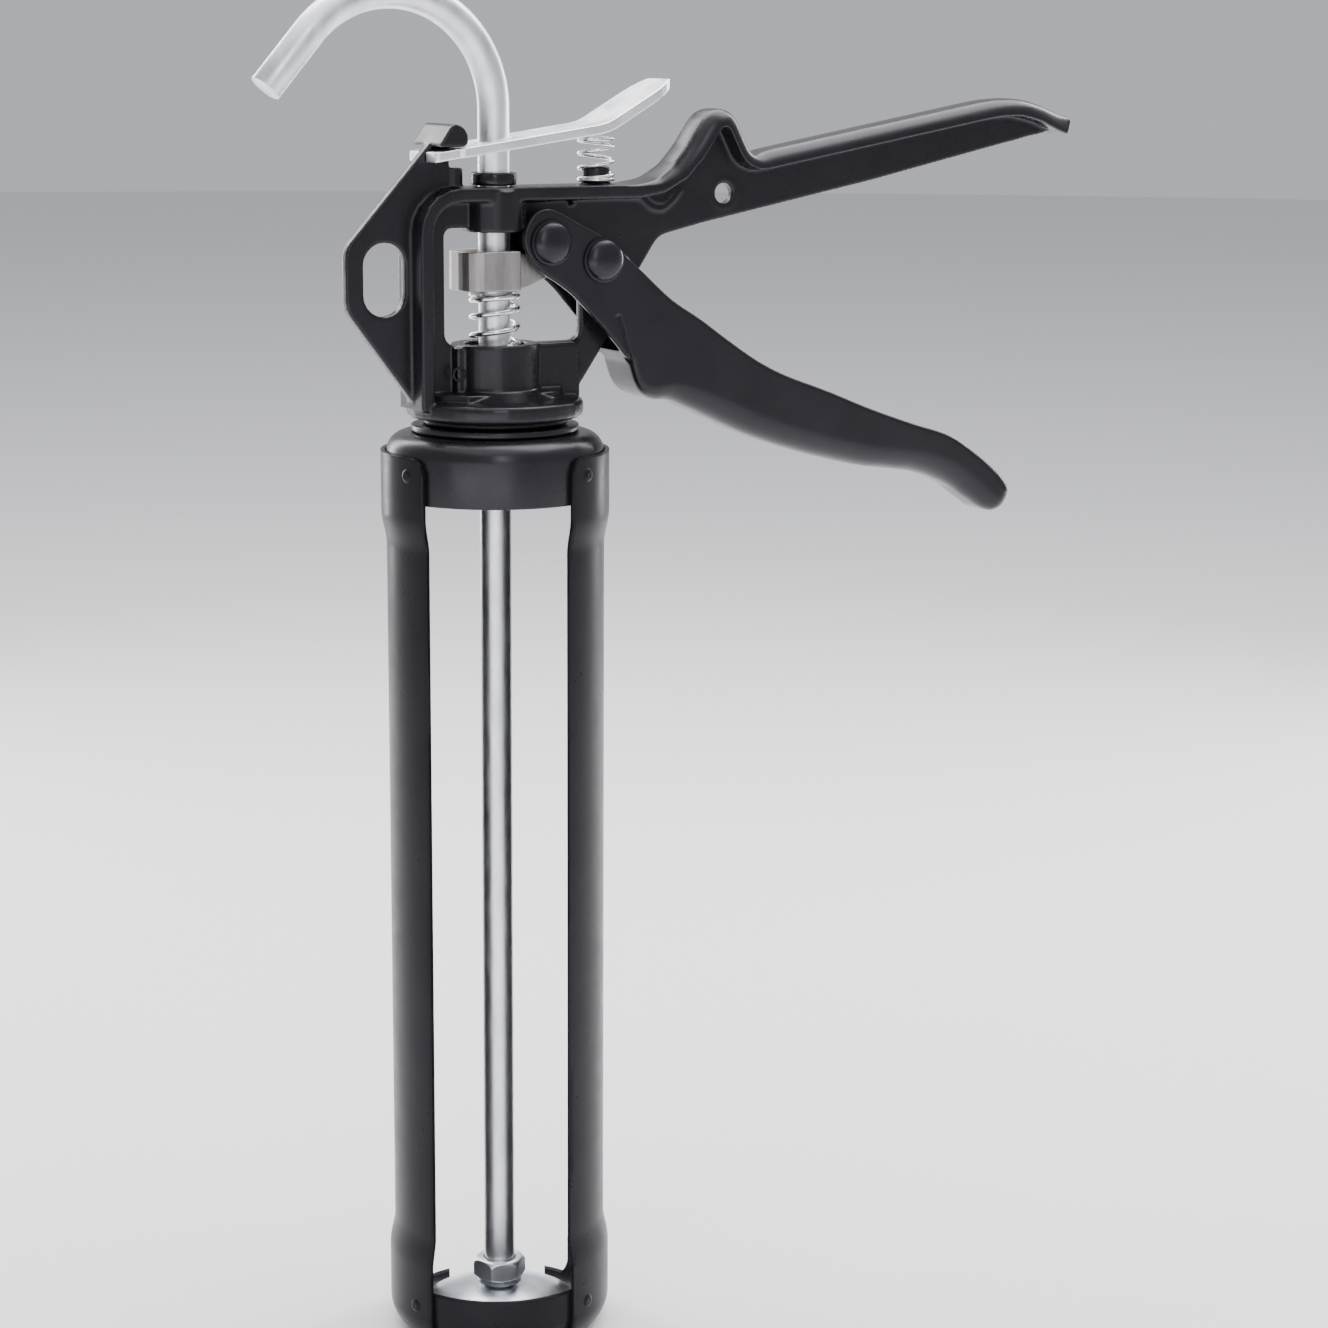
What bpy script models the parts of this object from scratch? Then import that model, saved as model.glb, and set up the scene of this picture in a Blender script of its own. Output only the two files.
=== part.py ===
"""Skeleton caulking gun: die-cast handle, swivelling cradle barrel, trigger drive and push rod.

Metres, +Z up. The rod's axis is the Z axis, the nose points down, and Z = 0 is the plane of the
nose cap's outer face and of the rod's end. The grip reaches towards +X. The barrel, the plunger
and the rod are drawn from that plane, and the handle's pieces from the collar's top.
"""

import math

import bmesh
import bpy
from mathutils import Matrix, Vector

OBJECT_NAME = "caulking_gun"

# Clearances
GAP = 0.0003                      # between pieces that touch
RUNNING = 0.0004                  # radial, round the rod

# Overall sizes
BARREL_LENGTH = 0.238             # from the nose cap's face to the collar's top
BARREL_RADIUS = 0.0275
ROD_RADIUS = 0.004

# Push rod's hook
HOOK_RISE = 0.080                 # where the bend starts, above the collar
HOOK_RADIUS = 0.028
HOOK_BEND = math.radians(139)
HOOK_TAIL = 0.0175
HOOK_STEP = math.radians(8)

# Plunger
DISC_RADIUS = BARREL_RADIUS - 0.007
DISC_THICKNESS = 0.0012
DISC_DOME = 0.0054
DISC_CENTRE_TOP = 0.0098
NUT_ACROSS_FLATS = 2 * ROD_RADIUS + 0.0042
NUT_HEIGHT = 0.0054
NUT_TURN = math.radians(44.5)
NUT_CHAMFER = 0.0009
NUT_FACE_EDGE = 0.0004            # how far the chamfer cuts into the flats
LOWER_NUT_HEIGHT = 0.0036
WASHER_RADIUS = ROD_RADIUS + 0.0018
WASHER_THICKNESS = 0.0011

# Nose cap
CAP_RADIUS = BARREL_RADIUS
CAP_WALL = 0.0015
CAP_HEIGHT = 0.015
CAP_CORNER = 0.008
CAP_SLOT_WIDTH = 0.026
CAP_BACK_HEIGHT = 0.004           # of the wall on the side that the cartridge goes in at

# Barrel collar
COLLAR_TOP = BARREL_LENGTH
COLLAR_RADIUS = BARREL_RADIUS
COLLAR_WALL = 0.0015
COLLAR_HEIGHT = 0.0163
COLLAR_CORNER = 0.005

# Straps
BARREL_TURN = math.radians(-25)
STRAP_THICKNESS = 0.0011
STRAP_HALF_ANGLE = math.radians(45)
STRAP_OFFSET = math.radians(5)    # towards the closed side of the nose cap
STRAP_BOTTOM = 0.0024
STRAP_TOP = COLLAR_TOP - 0.0045
STRAP_WAIST_RADIUS = BARREL_RADIUS - 0.001       # inner radius between the joggles
STRAP_CORNER = 0.004
STRAP_COLUMNS = 14
CORNER_DROP_SHARE = 0.98          # keeps the rows of a rounded corner from meeting
JOGGLE_LENGTH = 0.009
LOWER_JOGGLE = 0.0215
UPPER_JOGGLE = COLLAR_TOP - COLLAR_HEIGHT - 0.0122
RIVET_RADIUS = 0.0012
RIVET_HEAD_RADIUS = 0.0021
RIVET_HEAD_HEIGHT = 0.0006
RIVET_ANGLE = math.radians(34)    # from the middle of the strap
NOSE_RIVET_HEIGHT = 0.011
COLLAR_RIVET_HEIGHT = COLLAR_TOP - 0.009

# From here on, heights of the handle's pieces are measured from the collar's top.
# Neck of the casting, and what holds the barrel on it
NECK_RADIUS = ROD_RADIUS + 0.008
WASHER_OD_RADIUS = 0.0212
SWIVEL_WASHER_THICKNESS = 0.0016
THRUST_WASHER_RADIUS = NECK_RADIUS + 0.0045
THRUST_WASHER_THICKNESS = 0.0012
RING_RADIUS = NECK_RADIUS + 0.0035
RING_THICKNESS = 0.0018
RING_GROOVE_DEPTH = 0.0013
RING_OPENING = 0.007
NECK_BELOW_RING = 0.003

# Casting
FLANGE_RADIUS = 0.0223
FLANGE_THICKNESS = 0.0045
FLANGE_EDGE = 0.0012
SHOULDER_RADIUS = 0.0185
SHOULDER_HEIGHT = 0.0017
WEB_THICKNESS = 0.003
BAND_WIDTH = 0.014
BAND_THICKNESS = 0.0035
BLOCK_RADIUS = ROD_RADIUS + 0.007
BLOCK_LEFT = -0.0125
BLOCK_RIGHT = 0.0225
BLOCK_WIDTH = 0.008
BLOCK_EDGE = 0.001
SEAT_TOP = 0.0222
SKIRT_HEIGHT = 0.0024
SKIRT_REACH = 0.005
POST_X = -0.0233
BEAM_TOP = 0.061
BEAM_BEND = 0.020
WINDOW_LEFT = -0.0144
WINDOW_RIGHT = 0.0239
WINDOW_TOP = 0.051
WINDOW_SHOULDER = 0.0320          # where the window narrows below the pivot
FIN_LEFT = -0.0409
FIN_RIGHT = -0.0129
FIN_SLOT_WIDTH = 0.0113
FIN_SLOT_LENGTH = 0.0181
FIN_SLOT_CENTRE = (-0.0307, 0.03885)
HEAD_LEFT = -0.0187
HEAD_BOTTOM = 0.071
HEAD_LENGTH = 0.008
HEAD_LEAN = 0.0038                # of the head's left side, over its height
HEAD_HEIGHT = 0.0056
HEAD_WIDTH = 0.016
BOSS_WALL = 0.0038
BOSS_PAST_CHEEK = 0.0016          # most that the boss reaches past the cheeks' inner faces
BOSS_BOTTOM = 0.0499
STOP_POST_X = -0.0111
STOP_POST_RADIUS = 0.0023
STOP_POST_HEIGHT = 0.0048
RELEASE_BOSS_RADIUS = 0.0036
RELEASE_BOSS_HEIGHT = 0.0045
HANG_HOLE = (0.066, 0.0580)
HANG_HOLE_RADIUS = 0.0031
GUIDE_RING_WALL = 0.0011
GUIDE_RING_HEIGHT = 0.003
GUIDE_RING_EDGE = 0.0008

# Trigger and its pins
PIVOT = (0.0268, 0.0425)
DRIVE_PIN = (0.012, 0.0472)
PIN_RADIUS = 0.003
PIN_HEAD_RADIUS = 0.0057
PIN_HEAD_HEIGHT = 0.0026
BUSH_RADIUS = PIN_RADIUS + 0.0018
TRIGGER_WIDTH = 0.016
TRIGGER_WALL = 0.0018
TRIGGER_BACK = 0.0022
TRIGGER_TIP_SOLID = 0.138         # the channel ends here and the tip is solid
TRIGGER_TIP = 0.1575
TRIGGER_TIP_ROUND = 0.0075        # of the tip, seen along the trigger's height
TRIGGER_TAPER = 0.0285            # length over which the far end narrows
TRIGGER_TIP_WIDTH = 0.0155

# Drive plate and spring
PLATE_THICKNESS = 0.0098
PLATE_DROP = 0.0014               # of the tongue's underside from the block's
PLATE_LEFT = -0.0109
PLATE_RIGHT = 0.0036
PLATE_WIDTH = 0.016
PLATE_CORNER = 0.006
PLATE_EDGE = 0.0005
TONGUE_WIDTH = 0.008
TONGUE_END = 0.0172
TONGUE_TIP = 0.004
DRIVE_WIRE = 0.0015
DRIVE_SPRING_RADIUS = ROD_RADIUS + 0.0027
DRIVE_SPRING_TURNS = 3.6
SPRING_RECESS_RADIUS = DRIVE_SPRING_RADIUS + 0.0016
SPRING_RECESS_DEPTH = 0.004

# Release lever and spring
LEVER_TILT = math.radians(8)
LEVER_THICKNESS = 0.0024
LEVER_WIDTH = 0.017
LEVER_FORK_WIDTH = 0.0158
LEVER_HEIGHT = 0.070              # underside on the rod's axis
LEVER_LEFT = -0.0195
LEVER_BEND = 0.0285
LEVER_AXIS = (-0.0179, 0.0703)
PADDLE_LENGTH = 0.0233
PADDLE_ANGLE = math.radians(29.5)
PADDLE_TIP_SHARE = 0.86           # of the lever's thickness, at the paddle's tip
LEVER_HOLE = (ROD_RADIUS + 0.0007, ROD_RADIUS + 0.0004)     # half length and half width
FORK_SLOT_DEPTH = 0.0007          # past the fin's right side
FORK_STEP = 0.0057                # past the head's left side
RELEASE_SPRING_X = 0.0289
RELEASE_SPRING_RADIUS = 0.0049
RELEASE_WIRE = 0.001
RELEASE_SPRING_TURNS = 3.5

# Facets
LARGE_SEGMENTS = 40
BORE_SEGMENTS = 28
SMALL_SEGMENTS = 20
RIVET_SEGMENTS = 12
ARC_STEP = math.radians(20)
CUT_PAST = 0.004                  # how far a cutter reaches past what it cuts
SINK = 0.002                      # how far a joined piece starts inside the other

# Heights that follow from the sizes above, from the collar's top
SWIVEL_WASHER_BOTTOM = GAP
SHOULDER_BOTTOM = SWIVEL_WASHER_BOTTOM + SWIVEL_WASHER_THICKNESS + GAP
FLANGE_BOTTOM = SHOULDER_BOTTOM + SHOULDER_HEIGHT
FLANGE_TOP = FLANGE_BOTTOM + FLANGE_THICKNESS
THRUST_WASHER_TOP = -COLLAR_WALL - GAP
RING_TOP = THRUST_WASHER_TOP - THRUST_WASHER_THICKNESS - GAP
BOSS_RADIUS = min(ROD_RADIUS + BOSS_WALL, TRIGGER_WIDTH / 2 - TRIGGER_WALL + BOSS_PAST_CHEEK)
PLATE_TOP = DRIVE_PIN[1] - PIN_RADIUS - GAP
PLATE_BOTTOM = PLATE_TOP - PLATE_THICKNESS + PLATE_DROP
DISC_UNDER = DISC_CENTRE_TOP - DISC_THICKNESS
STRAP_END_RADIUS = CAP_RADIUS + GAP

# Outlines of the casting and the trigger as corners (x, height, fillet radius)
FOOT = FLANGE_TOP - SINK
RIM_CORNERS = [
    (POST_X, FOOT, 0),
    (POST_X, BEAM_TOP, 0.011),
    (0.0484, BEAM_TOP, 0.020),
    (0.0638, 0.0835, 0.0052),
    (0.0725, 0.0670, 0.004),
    (0.158, 0.0820, 0.030),
    (0.1755, 0.0745, 0),
]
WEB_INSET = BAND_THICKNESS / 2
WEB_CORNERS = [
    (HEAD_LEFT + 0.0020, HEAD_BOTTOM + 0.0023, 0),
    (FIN_LEFT, 0.0468, 0.006),
    (FIN_LEFT, 0.0315, 0.006),
    (-0.0218, FOOT, 0.001),
    (0.0208, FOOT, 0.001),
    (0.0299, 0.0196, 0.002),
    (0.0412, 0.0396, 0.001),
    (0.0466, 0.0476, 0.006),
    (0.0605, 0.0507, 0.020),
    (0.1120, 0.0605, 0.100),
    (0.1630, 0.0714, 0.030),
    (0.1725, 0.0732, 0),
    (0.1580, 0.0820 - WEB_INSET, 0.030),
    (0.0725, 0.0670 - WEB_INSET, 0.004),
    (0.0638, 0.0795 - WEB_INSET, 0.0015),
    (0.0500, BEAM_TOP - WEB_INSET, 0.020),
    (FIN_RIGHT, BEAM_TOP - WEB_INSET, 0),
    (FIN_RIGHT, HEAD_BOTTOM + 0.0023, 0),
]
CHEEK_CORNERS = [
    (0.0372, 0.0396, 0.0015),
    (0.0295, 0.0480, 0.004),
    (0.0130, 0.0566, 0.0062),
    (DRIVE_PIN[0] - 0.0079, 0.0506, 0.0055),
    (0.0053, 0.0412, 0.0055),
    (0.0124, 0.0369, 0.004),
    (0.0198, 0.0325, 0.006),
]
FINGER_SIDE_CORNERS = [
    (0.0352, 0.0158, 0),
    (0.0378, 0.0084, 0.003),
    (0.0432, 0.0057, 0.003),
    (0.0510, 0.0050, 0.008),
    (0.0670, -0.0016, 0.060),
    (0.0860, -0.0092, 0.080),
    (0.1075, -0.0152, 0.080),
    (0.1290, -0.0186, 0.030),
    (0.1390, -0.0226, 0.030),
    (0.1455, -0.0276, 0),
]
GRIP_SIDE_CORNERS = [
    (0.1505, -0.0306, 0.0045),
    (0.1573, -0.0275, 0.0042),
    (0.1557, -0.0225, 0.004),
    (0.1450, -0.0132, 0.015),
    (0.1348, -0.0080, 0.030),
    (0.1196, -0.0034, 0.040),
    (0.0947, 0.0058, 0.060),
    (0.0768, 0.0122, 0.060),
    (0.0644, 0.0202, 0.030),
    (0.0475, 0.0315, 0.030),
]
BACK_OPENING = [Vector((0.060, 0.062)), Vector((-0.010, 0.072)), Vector((-0.010, 0.024)), Vector((0.028, 0.012))]


# ---------------------------------------------------------------- scene and helpers

def clear_scene():
    for item in list(bpy.data.objects):
        bpy.data.objects.remove(item, do_unlink=True)


def collection(name):
    group = bpy.data.collections.new(name)
    bpy.context.scene.collection.children.link(group)
    return group


def material(name, colour, roughness, metallic):
    paint = bpy.data.materials.new(name)
    paint.use_nodes = True
    shader = paint.node_tree.nodes["Principled BSDF"]
    shader.inputs["Base Color"].default_value = (*colour, 1.0)
    shader.inputs["Roughness"].default_value = roughness
    shader.inputs["Metallic"].default_value = metallic
    return paint


def body_empty(name, place, frame):
    """An empty on a joint's axis. Its place is stated in the frame that its pieces are drawn in."""
    made = bpy.data.objects.new(name, None)
    PARTS.objects.link(made)
    made.location = frame + Vector(place)
    made["place"] = place
    return made


def link(mesh, name, body, paint=None, group=None):
    """A named object on a body's empty, in the parts collection, or in the tools one as a guide.
    Its origin is moved to the empty, so that it turns and slides about its joint's axis."""
    mesh.transform(Matrix.Translation(-Vector(body["place"])))
    made = bpy.data.objects.new(name, mesh)
    made.parent = body
    (group or PARTS).objects.link(made)
    if paint:
        mesh.materials.clear()
        mesh.materials.append(paint)
    if group:
        made.hide_render = True
        made.display_type = "WIRE"
    return made


def smooth(made, angle=40):
    made.data.shade_smooth()
    made.data.set_sharp_from_angle(angle=math.radians(angle))
    return made


def evaluated_mesh(made, matrix):
    """The object's final mesh, welded and moved by a matrix. The object is removed."""
    depsgraph = bpy.context.evaluated_depsgraph_get()
    mesh = bpy.data.meshes.new_from_object(made.evaluated_get(depsgraph))
    bm = bmesh.new()
    bm.from_mesh(mesh)
    bmesh.ops.remove_doubles(bm, verts=bm.verts, dist=0.000005)
    bmesh.ops.transform(bm, matrix=matrix, verts=bm.verts)
    bmesh.ops.recalc_face_normals(bm, faces=bm.faces)
    if bm.calc_volume(signed=True) < 0:
        bmesh.ops.reverse_faces(bm, faces=bm.faces)
    bm.to_mesh(mesh)
    bm.free()
    bpy.data.objects.remove(made, do_unlink=True)
    return mesh


def rounded(corners):
    """A closed outline from corners (a, b, fillet radius), each round stretch as an arc."""
    outline = []
    count = len(corners)
    for index, (a, b, radius) in enumerate(corners):
        here = Vector((a, b))
        before = (Vector(corners[index - 1][:2]) - here).normalized()
        after = (Vector(corners[(index + 1) % count][:2]) - here).normalized()
        half = before.angle(after) / 2
        if radius <= 0 or half > math.radians(88):
            outline.append(here)
            continue
        reach = radius / math.tan(half)
        middle = (before + after).normalized()
        centre = here + middle * radius / math.sin(half)
        start = here + before * reach - centre
        turn = math.pi - 2 * half
        side = 1 if start.x * (here - centre).y - start.y * (here - centre).x > 0 else -1
        steps = max(1, math.ceil(turn / ARC_STEP))
        for step in range(steps + 1):
            angle = side * turn * step / steps
            outline.append(centre + Matrix.Rotation(angle, 2) @ start)
    return outline


def circle(centre, radius, segments=SMALL_SEGMENTS):
    turns = [2 * math.pi * step / segments for step in range(segments)]
    return [Vector((centre[0] + radius * math.cos(t), centre[1] + radius * math.sin(t))) for t in turns]


def offset(path, distance):
    """An open path moved sideways, to the left of its direction for a positive distance."""
    moved = []
    for index, point in enumerate(path):
        before = path[max(index - 1, 0)]
        after = path[min(index + 1, len(path) - 1)]
        along = (after - before).normalized()
        moved.append(point + Vector((-along.y, along.x)) * distance)
    return moved


def filled_curve(outlines, thickness):
    """A flat curve object of one or more closed outlines, the inner ones as holes."""
    curve = bpy.data.curves.new("outline", "CURVE")
    curve.dimensions = "2D"
    curve.fill_mode = "BOTH"
    curve.extrude = thickness / 2
    for outline in outlines:
        spline = curve.splines.new("POLY")
        spline.points.add(len(outline) - 1)
        for place, point in zip(spline.points, outline):
            place.co = (point[0], point[1], 0, 1)
        spline.use_cyclic_u = True
    made = bpy.data.objects.new("outline", curve)
    bpy.context.scene.collection.objects.link(made)
    return made


def side_plate(outlines, width, y=0.0):
    """A plate with outlines in X and Z, centred on y."""
    turn = Matrix.Translation((0, y, 0)) @ Matrix.Rotation(math.pi / 2, 4, "X")
    return evaluated_mesh(filled_curve(outlines, width), turn)


def flat_plate(outlines, bottom, top):
    """A plate with outlines in X and Y, from one height to another."""
    return evaluated_mesh(filled_curve(outlines, top - bottom), Matrix.Translation((0, 0, (top + bottom) / 2)))


def turned(profile, segments=LARGE_SEGMENTS, matrix=None):
    """A body turned about Z from (radius, height) points, down its outer side."""
    mesh = bpy.data.meshes.new("profile")
    on_axis = profile[0][0] == 0 and profile[-1][0] == 0
    edges = [(i, i + 1) for i in range(len(profile) - 1)]
    if not on_axis:
        edges.append((len(profile) - 1, 0))
    mesh.from_pydata([(radius, 0, height) for radius, height in profile], edges, [])
    made = bpy.data.objects.new("profile", mesh)
    bpy.context.scene.collection.objects.link(made)
    screw = made.modifiers.new("turn", "SCREW")
    screw.steps = segments
    screw.render_steps = segments
    screw.use_merge_vertices = True
    screw.merge_threshold = 0.00001
    return evaluated_mesh(made, matrix or Matrix.Identity(4))


def ring(inner, outer, bottom, top, segments=LARGE_SEGMENTS, matrix=None):
    profile = [(outer, top), (outer, bottom), (inner, bottom), (inner, top)]
    return turned(profile, segments, matrix)


def post(radius, bottom, top, segments=SMALL_SEGMENTS, matrix=None):
    profile = [(0, top), (radius, top), (radius, bottom), (0, bottom)]
    return turned(profile, segments, matrix)


def quarter(centre, radius, start, end, steps):
    """Points of an arc in a turned profile, angles in degrees."""
    angles = [math.radians(start + (end - start) * step / steps) for step in range(steps + 1)]
    return [(centre[0] + radius * math.cos(a), centre[1] + radius * math.sin(a)) for a in angles]


def along_y(point):
    """Places a body turned about Z on a cross pin's axis, at (x, z)."""
    return Matrix.Translation((point[0], 0, point[1])) @ Matrix.Rotation(math.pi / 2, 4, "X")


def boolean(made, mesh, operation, name):
    tool = link(mesh, name, made.parent, group=TOOLS)
    step = made.modifiers.new(name, "BOOLEAN")
    step.operation = operation
    step.object = tool


def join_meshes(meshes):
    bm = bmesh.new()
    for mesh in meshes:
        bm.from_mesh(mesh)
    joined = bpy.data.meshes.new("joined")
    bm.to_mesh(joined)
    bm.free()
    return joined


def wire(points, diameter, matrix=None):
    """A round wire along a path of points, as a closed mesh."""
    curve = bpy.data.curves.new("wire", "CURVE")
    curve.dimensions = "3D"
    curve.bevel_depth = diameter / 2
    curve.bevel_resolution = 2
    curve.use_fill_caps = True
    spline = curve.splines.new("POLY")
    spline.points.add(len(points) - 1)
    for place, point in zip(spline.points, points):
        place.co = (*point, 1)
    made = bpy.data.objects.new("wire", curve)
    bpy.context.scene.collection.objects.link(made)
    return evaluated_mesh(made, matrix or Matrix.Identity(4))


def coil(x, bottom, top, outer_radius, wire_diameter, turns):
    """A compression spring's wire, its end turns closer than the middle ones."""
    steps = math.ceil(turns * 12)
    radius = outer_radius - wire_diameter / 2
    low = bottom + wire_diameter / 2
    rise = top - bottom - wire_diameter
    points = []
    for step in range(steps + 1):
        share = step / steps
        angle = 2 * math.pi * turns * share
        height = low + rise * (share - math.sin(4 * math.pi * share) / (8 * math.pi))
        points.append((x + radius * math.cos(angle), radius * math.sin(angle), height))
    return wire(points, wire_diameter)


def barrel_matrix(angle=0.0):
    return Matrix.Rotation(BARREL_TURN + angle, 4, "Z")


# ---------------------------------------------------------------- casting

def web_holes():
    pocket = PIVOT[0] - BUSH_RADIUS - 0.0035
    window = rounded([
        (WINDOW_LEFT, SEAT_TOP - GAP, 0.003),
        (WINDOW_RIGHT, SEAT_TOP - GAP, 0.003),
        (WINDOW_RIGHT, WINDOW_SHOULDER, 0.002),
        (pocket, WINDOW_SHOULDER + 0.0055, 0.002),
        (pocket, WINDOW_TOP, 0.002),
        (WINDOW_LEFT, WINDOW_TOP, 0.002),
    ])
    half = FIN_SLOT_WIDTH / 2
    reach = FIN_SLOT_LENGTH / 2
    x, z = FIN_SLOT_CENTRE
    slot = rounded([
        (x - half, z - reach, half * 0.98),
        (x + half, z - reach, half * 0.98),
        (x + half, z + reach, half * 0.98),
        (x - half, z + reach, half * 0.98),
    ])
    pivot = circle(PIVOT, BUSH_RADIUS + GAP)
    hang = circle(HANG_HOLE, HANG_HOLE_RADIUS)
    return [window, slot, pivot, hang]


def foot_mesh():
    """Spring block, skirt, flange, shoulder and the neck with the retaining ring's groove."""
    groove = NECK_RADIUS - RING_GROOVE_DEPTH
    groove_bottom = RING_TOP - RING_THICKNESS - GAP
    edge = FLANGE_EDGE
    profile = [
        (0, SEAT_TOP),
        (BLOCK_RADIUS, SEAT_TOP),
        (BLOCK_RADIUS, FLANGE_TOP + SKIRT_HEIGHT),
        (BLOCK_RADIUS + SKIRT_REACH, FLANGE_TOP),
        *quarter((FLANGE_RADIUS - edge, FLANGE_TOP - edge), edge, 90, 0, 3),
        *quarter((FLANGE_RADIUS - edge, FLANGE_BOTTOM + edge), edge, 0, -90, 3),
        (SHOULDER_RADIUS, FLANGE_BOTTOM),
        (SHOULDER_RADIUS, SHOULDER_BOTTOM),
        (NECK_RADIUS, SHOULDER_BOTTOM),
        (NECK_RADIUS, RING_TOP),
        (groove, RING_TOP),
        (groove, groove_bottom),
        (NECK_RADIUS, groove_bottom),
        (NECK_RADIUS, groove_bottom - NECK_BELOW_RING),
        (0, groove_bottom - NECK_BELOW_RING),
    ]
    return turned(profile)


def bore_cutter():
    """Rod bore through the whole casting, with the drive spring's recess."""
    bore = ROD_RADIUS + RUNNING
    recess_floor = SEAT_TOP - SPRING_RECESS_DEPTH
    top = BEAM_TOP + CUT_PAST
    bottom = RING_TOP - RING_THICKNESS - NECK_BELOW_RING - CUT_PAST
    profile = [
        (0, top),
        (bore, top),
        (bore, SEAT_TOP + CUT_PAST),
        (SPRING_RECESS_RADIUS, SEAT_TOP + CUT_PAST),
        (SPRING_RECESS_RADIUS, recess_floor),
        (bore, recess_floor),
        (bore, bottom),
        (0, bottom),
    ]
    return turned(profile, BORE_SEGMENTS)


def block_outline():
    half = BLOCK_WIDTH / 2
    return rounded([
        (BLOCK_LEFT, -half, BLOCK_EDGE),
        (BLOCK_RIGHT, -half, BLOCK_EDGE),
        (BLOCK_RIGHT, half, BLOCK_EDGE),
        (BLOCK_LEFT, half, BLOCK_EDGE),
    ])


def head_outline():
    right = HEAD_LEFT + HEAD_LENGTH
    top = HEAD_BOTTOM + HEAD_HEIGHT
    return rounded([
        (HEAD_LEFT, HEAD_BOTTOM, 0.0005),
        (right, HEAD_BOTTOM, 0.0014),
        (right, top, 0.0036),
        (HEAD_LEFT + HEAD_LEAN, top, 0.0016),
    ])


def handle_casting():
    """Web plate with the rim, foot, block, boss, fin head and posts joined on, then bored."""
    web = side_plate([rounded(WEB_CORNERS), *web_holes()], WEB_THICKNESS)
    casting = link(web, "handle_casting", HANDLE, BLACK_PAINT)
    path = rounded(RIM_CORNERS)
    band = path + list(reversed(offset(path, -BAND_THICKNESS)))
    boolean(casting, side_plate([band], BAND_WIDTH), "UNION", "rim_band")
    boolean(casting, foot_mesh(), "UNION", "foot")
    block = flat_plate([block_outline()], FLANGE_TOP - SINK / 2, SEAT_TOP - 2 * GAP)
    boolean(casting, block, "UNION", "block_ribs")
    boss = post(BOSS_RADIUS, BOSS_BOTTOM, BEAM_TOP - SINK / 2, BORE_SEGMENTS)
    boolean(casting, boss, "UNION", "upper_boss")
    boolean(casting, side_plate([head_outline()], HEAD_WIDTH), "UNION", "fin_head")
    bottom = BEAM_TOP - SINK
    stop_place = Matrix.Translation((STOP_POST_X, 0, 0))
    stop = post(STOP_POST_RADIUS, bottom, BEAM_TOP + STOP_POST_HEIGHT, RIVET_SEGMENTS, stop_place)
    boolean(casting, stop, "UNION", "stop_post")
    spigot_place = Matrix.Translation((RELEASE_SPRING_X, 0, 0))
    spigot = post(RELEASE_BOSS_RADIUS, bottom, BEAM_TOP + RELEASE_BOSS_HEIGHT, SMALL_SEGMENTS, spigot_place)
    boolean(casting, spigot, "UNION", "release_spring_boss")
    boolean(casting, bore_cutter(), "DIFFERENCE", "rod_bore")
    smooth(casting)


def rod_guide_ring():
    inner = ROD_RADIUS + RUNNING
    outer = inner + GUIDE_RING_WALL
    edge = GUIDE_RING_EDGE
    bottom = BEAM_TOP + GAP
    top = bottom + GUIDE_RING_HEIGHT
    profile = [
        *quarter((outer - edge, top - edge), edge, 90, 0, 3),
        *quarter((outer - edge, bottom + edge), edge, 0, -90, 3),
        (inner, bottom),
        (inner, top),
    ]
    smooth(link(turned(profile, BORE_SEGMENTS), "rod_guide_ring", HANDLE, BLACK_PAINT))


def neck_rings():
    inner = NECK_RADIUS + GAP
    swivel_top = SWIVEL_WASHER_BOTTOM + SWIVEL_WASHER_THICKNESS
    swivel = ring(inner, WASHER_OD_RADIUS, SWIVEL_WASHER_BOTTOM, swivel_top)
    smooth(link(swivel, "swivel_washer", HANDLE, BLACK_PAINT))
    thrust = ring(inner, THRUST_WASHER_RADIUS, THRUST_WASHER_TOP - THRUST_WASHER_THICKNESS, THRUST_WASHER_TOP)
    smooth(link(thrust, "thrust_washer", HANDLE, ZINC))
    groove = NECK_RADIUS - RING_GROOVE_DEPTH
    low = RING_TOP - RING_THICKNESS
    body = ring(groove + GAP / 2, RING_RADIUS, low, RING_TOP - GAP / 2)
    retaining = link(body, "retaining_ring", HANDLE, SPRING_STEEL)
    half = RING_OPENING / 2
    reach = RING_RADIUS + CUT_PAST
    opening = [(-half, 0), (half, 0), (half, reach), (-half, reach)]
    cutter = flat_plate([opening], low - CUT_PAST, RING_TOP + CUT_PAST)
    boolean(retaining, cutter, "DIFFERENCE", "ring_opening")
    smooth(retaining)


# ---------------------------------------------------------------- barrel

def rivet_places(height):
    """Axes of the four rivets of a shell, two on each strap, pointing outwards."""
    for strap_angle in STRAP_ANGLES:
        for side in (-1, 1):
            turn = barrel_matrix(strap_angle + side * RIVET_ANGLE)
            yield turn @ Matrix.Translation((0, 0, height)) @ Matrix.Rotation(math.pi / 2, 4, "Y")


def rivet_holes(height):
    """Cutter for the four holes through the straps and the shell behind them."""
    reach = STRAP_END_RADIUS + STRAP_THICKNESS + CUT_PAST
    inner = STRAP_END_RADIUS - 2 * CUT_PAST
    radius = RIVET_RADIUS + GAP
    return join_meshes([post(radius, inner, reach, RIVET_SEGMENTS, place) for place in rivet_places(height)])


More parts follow.
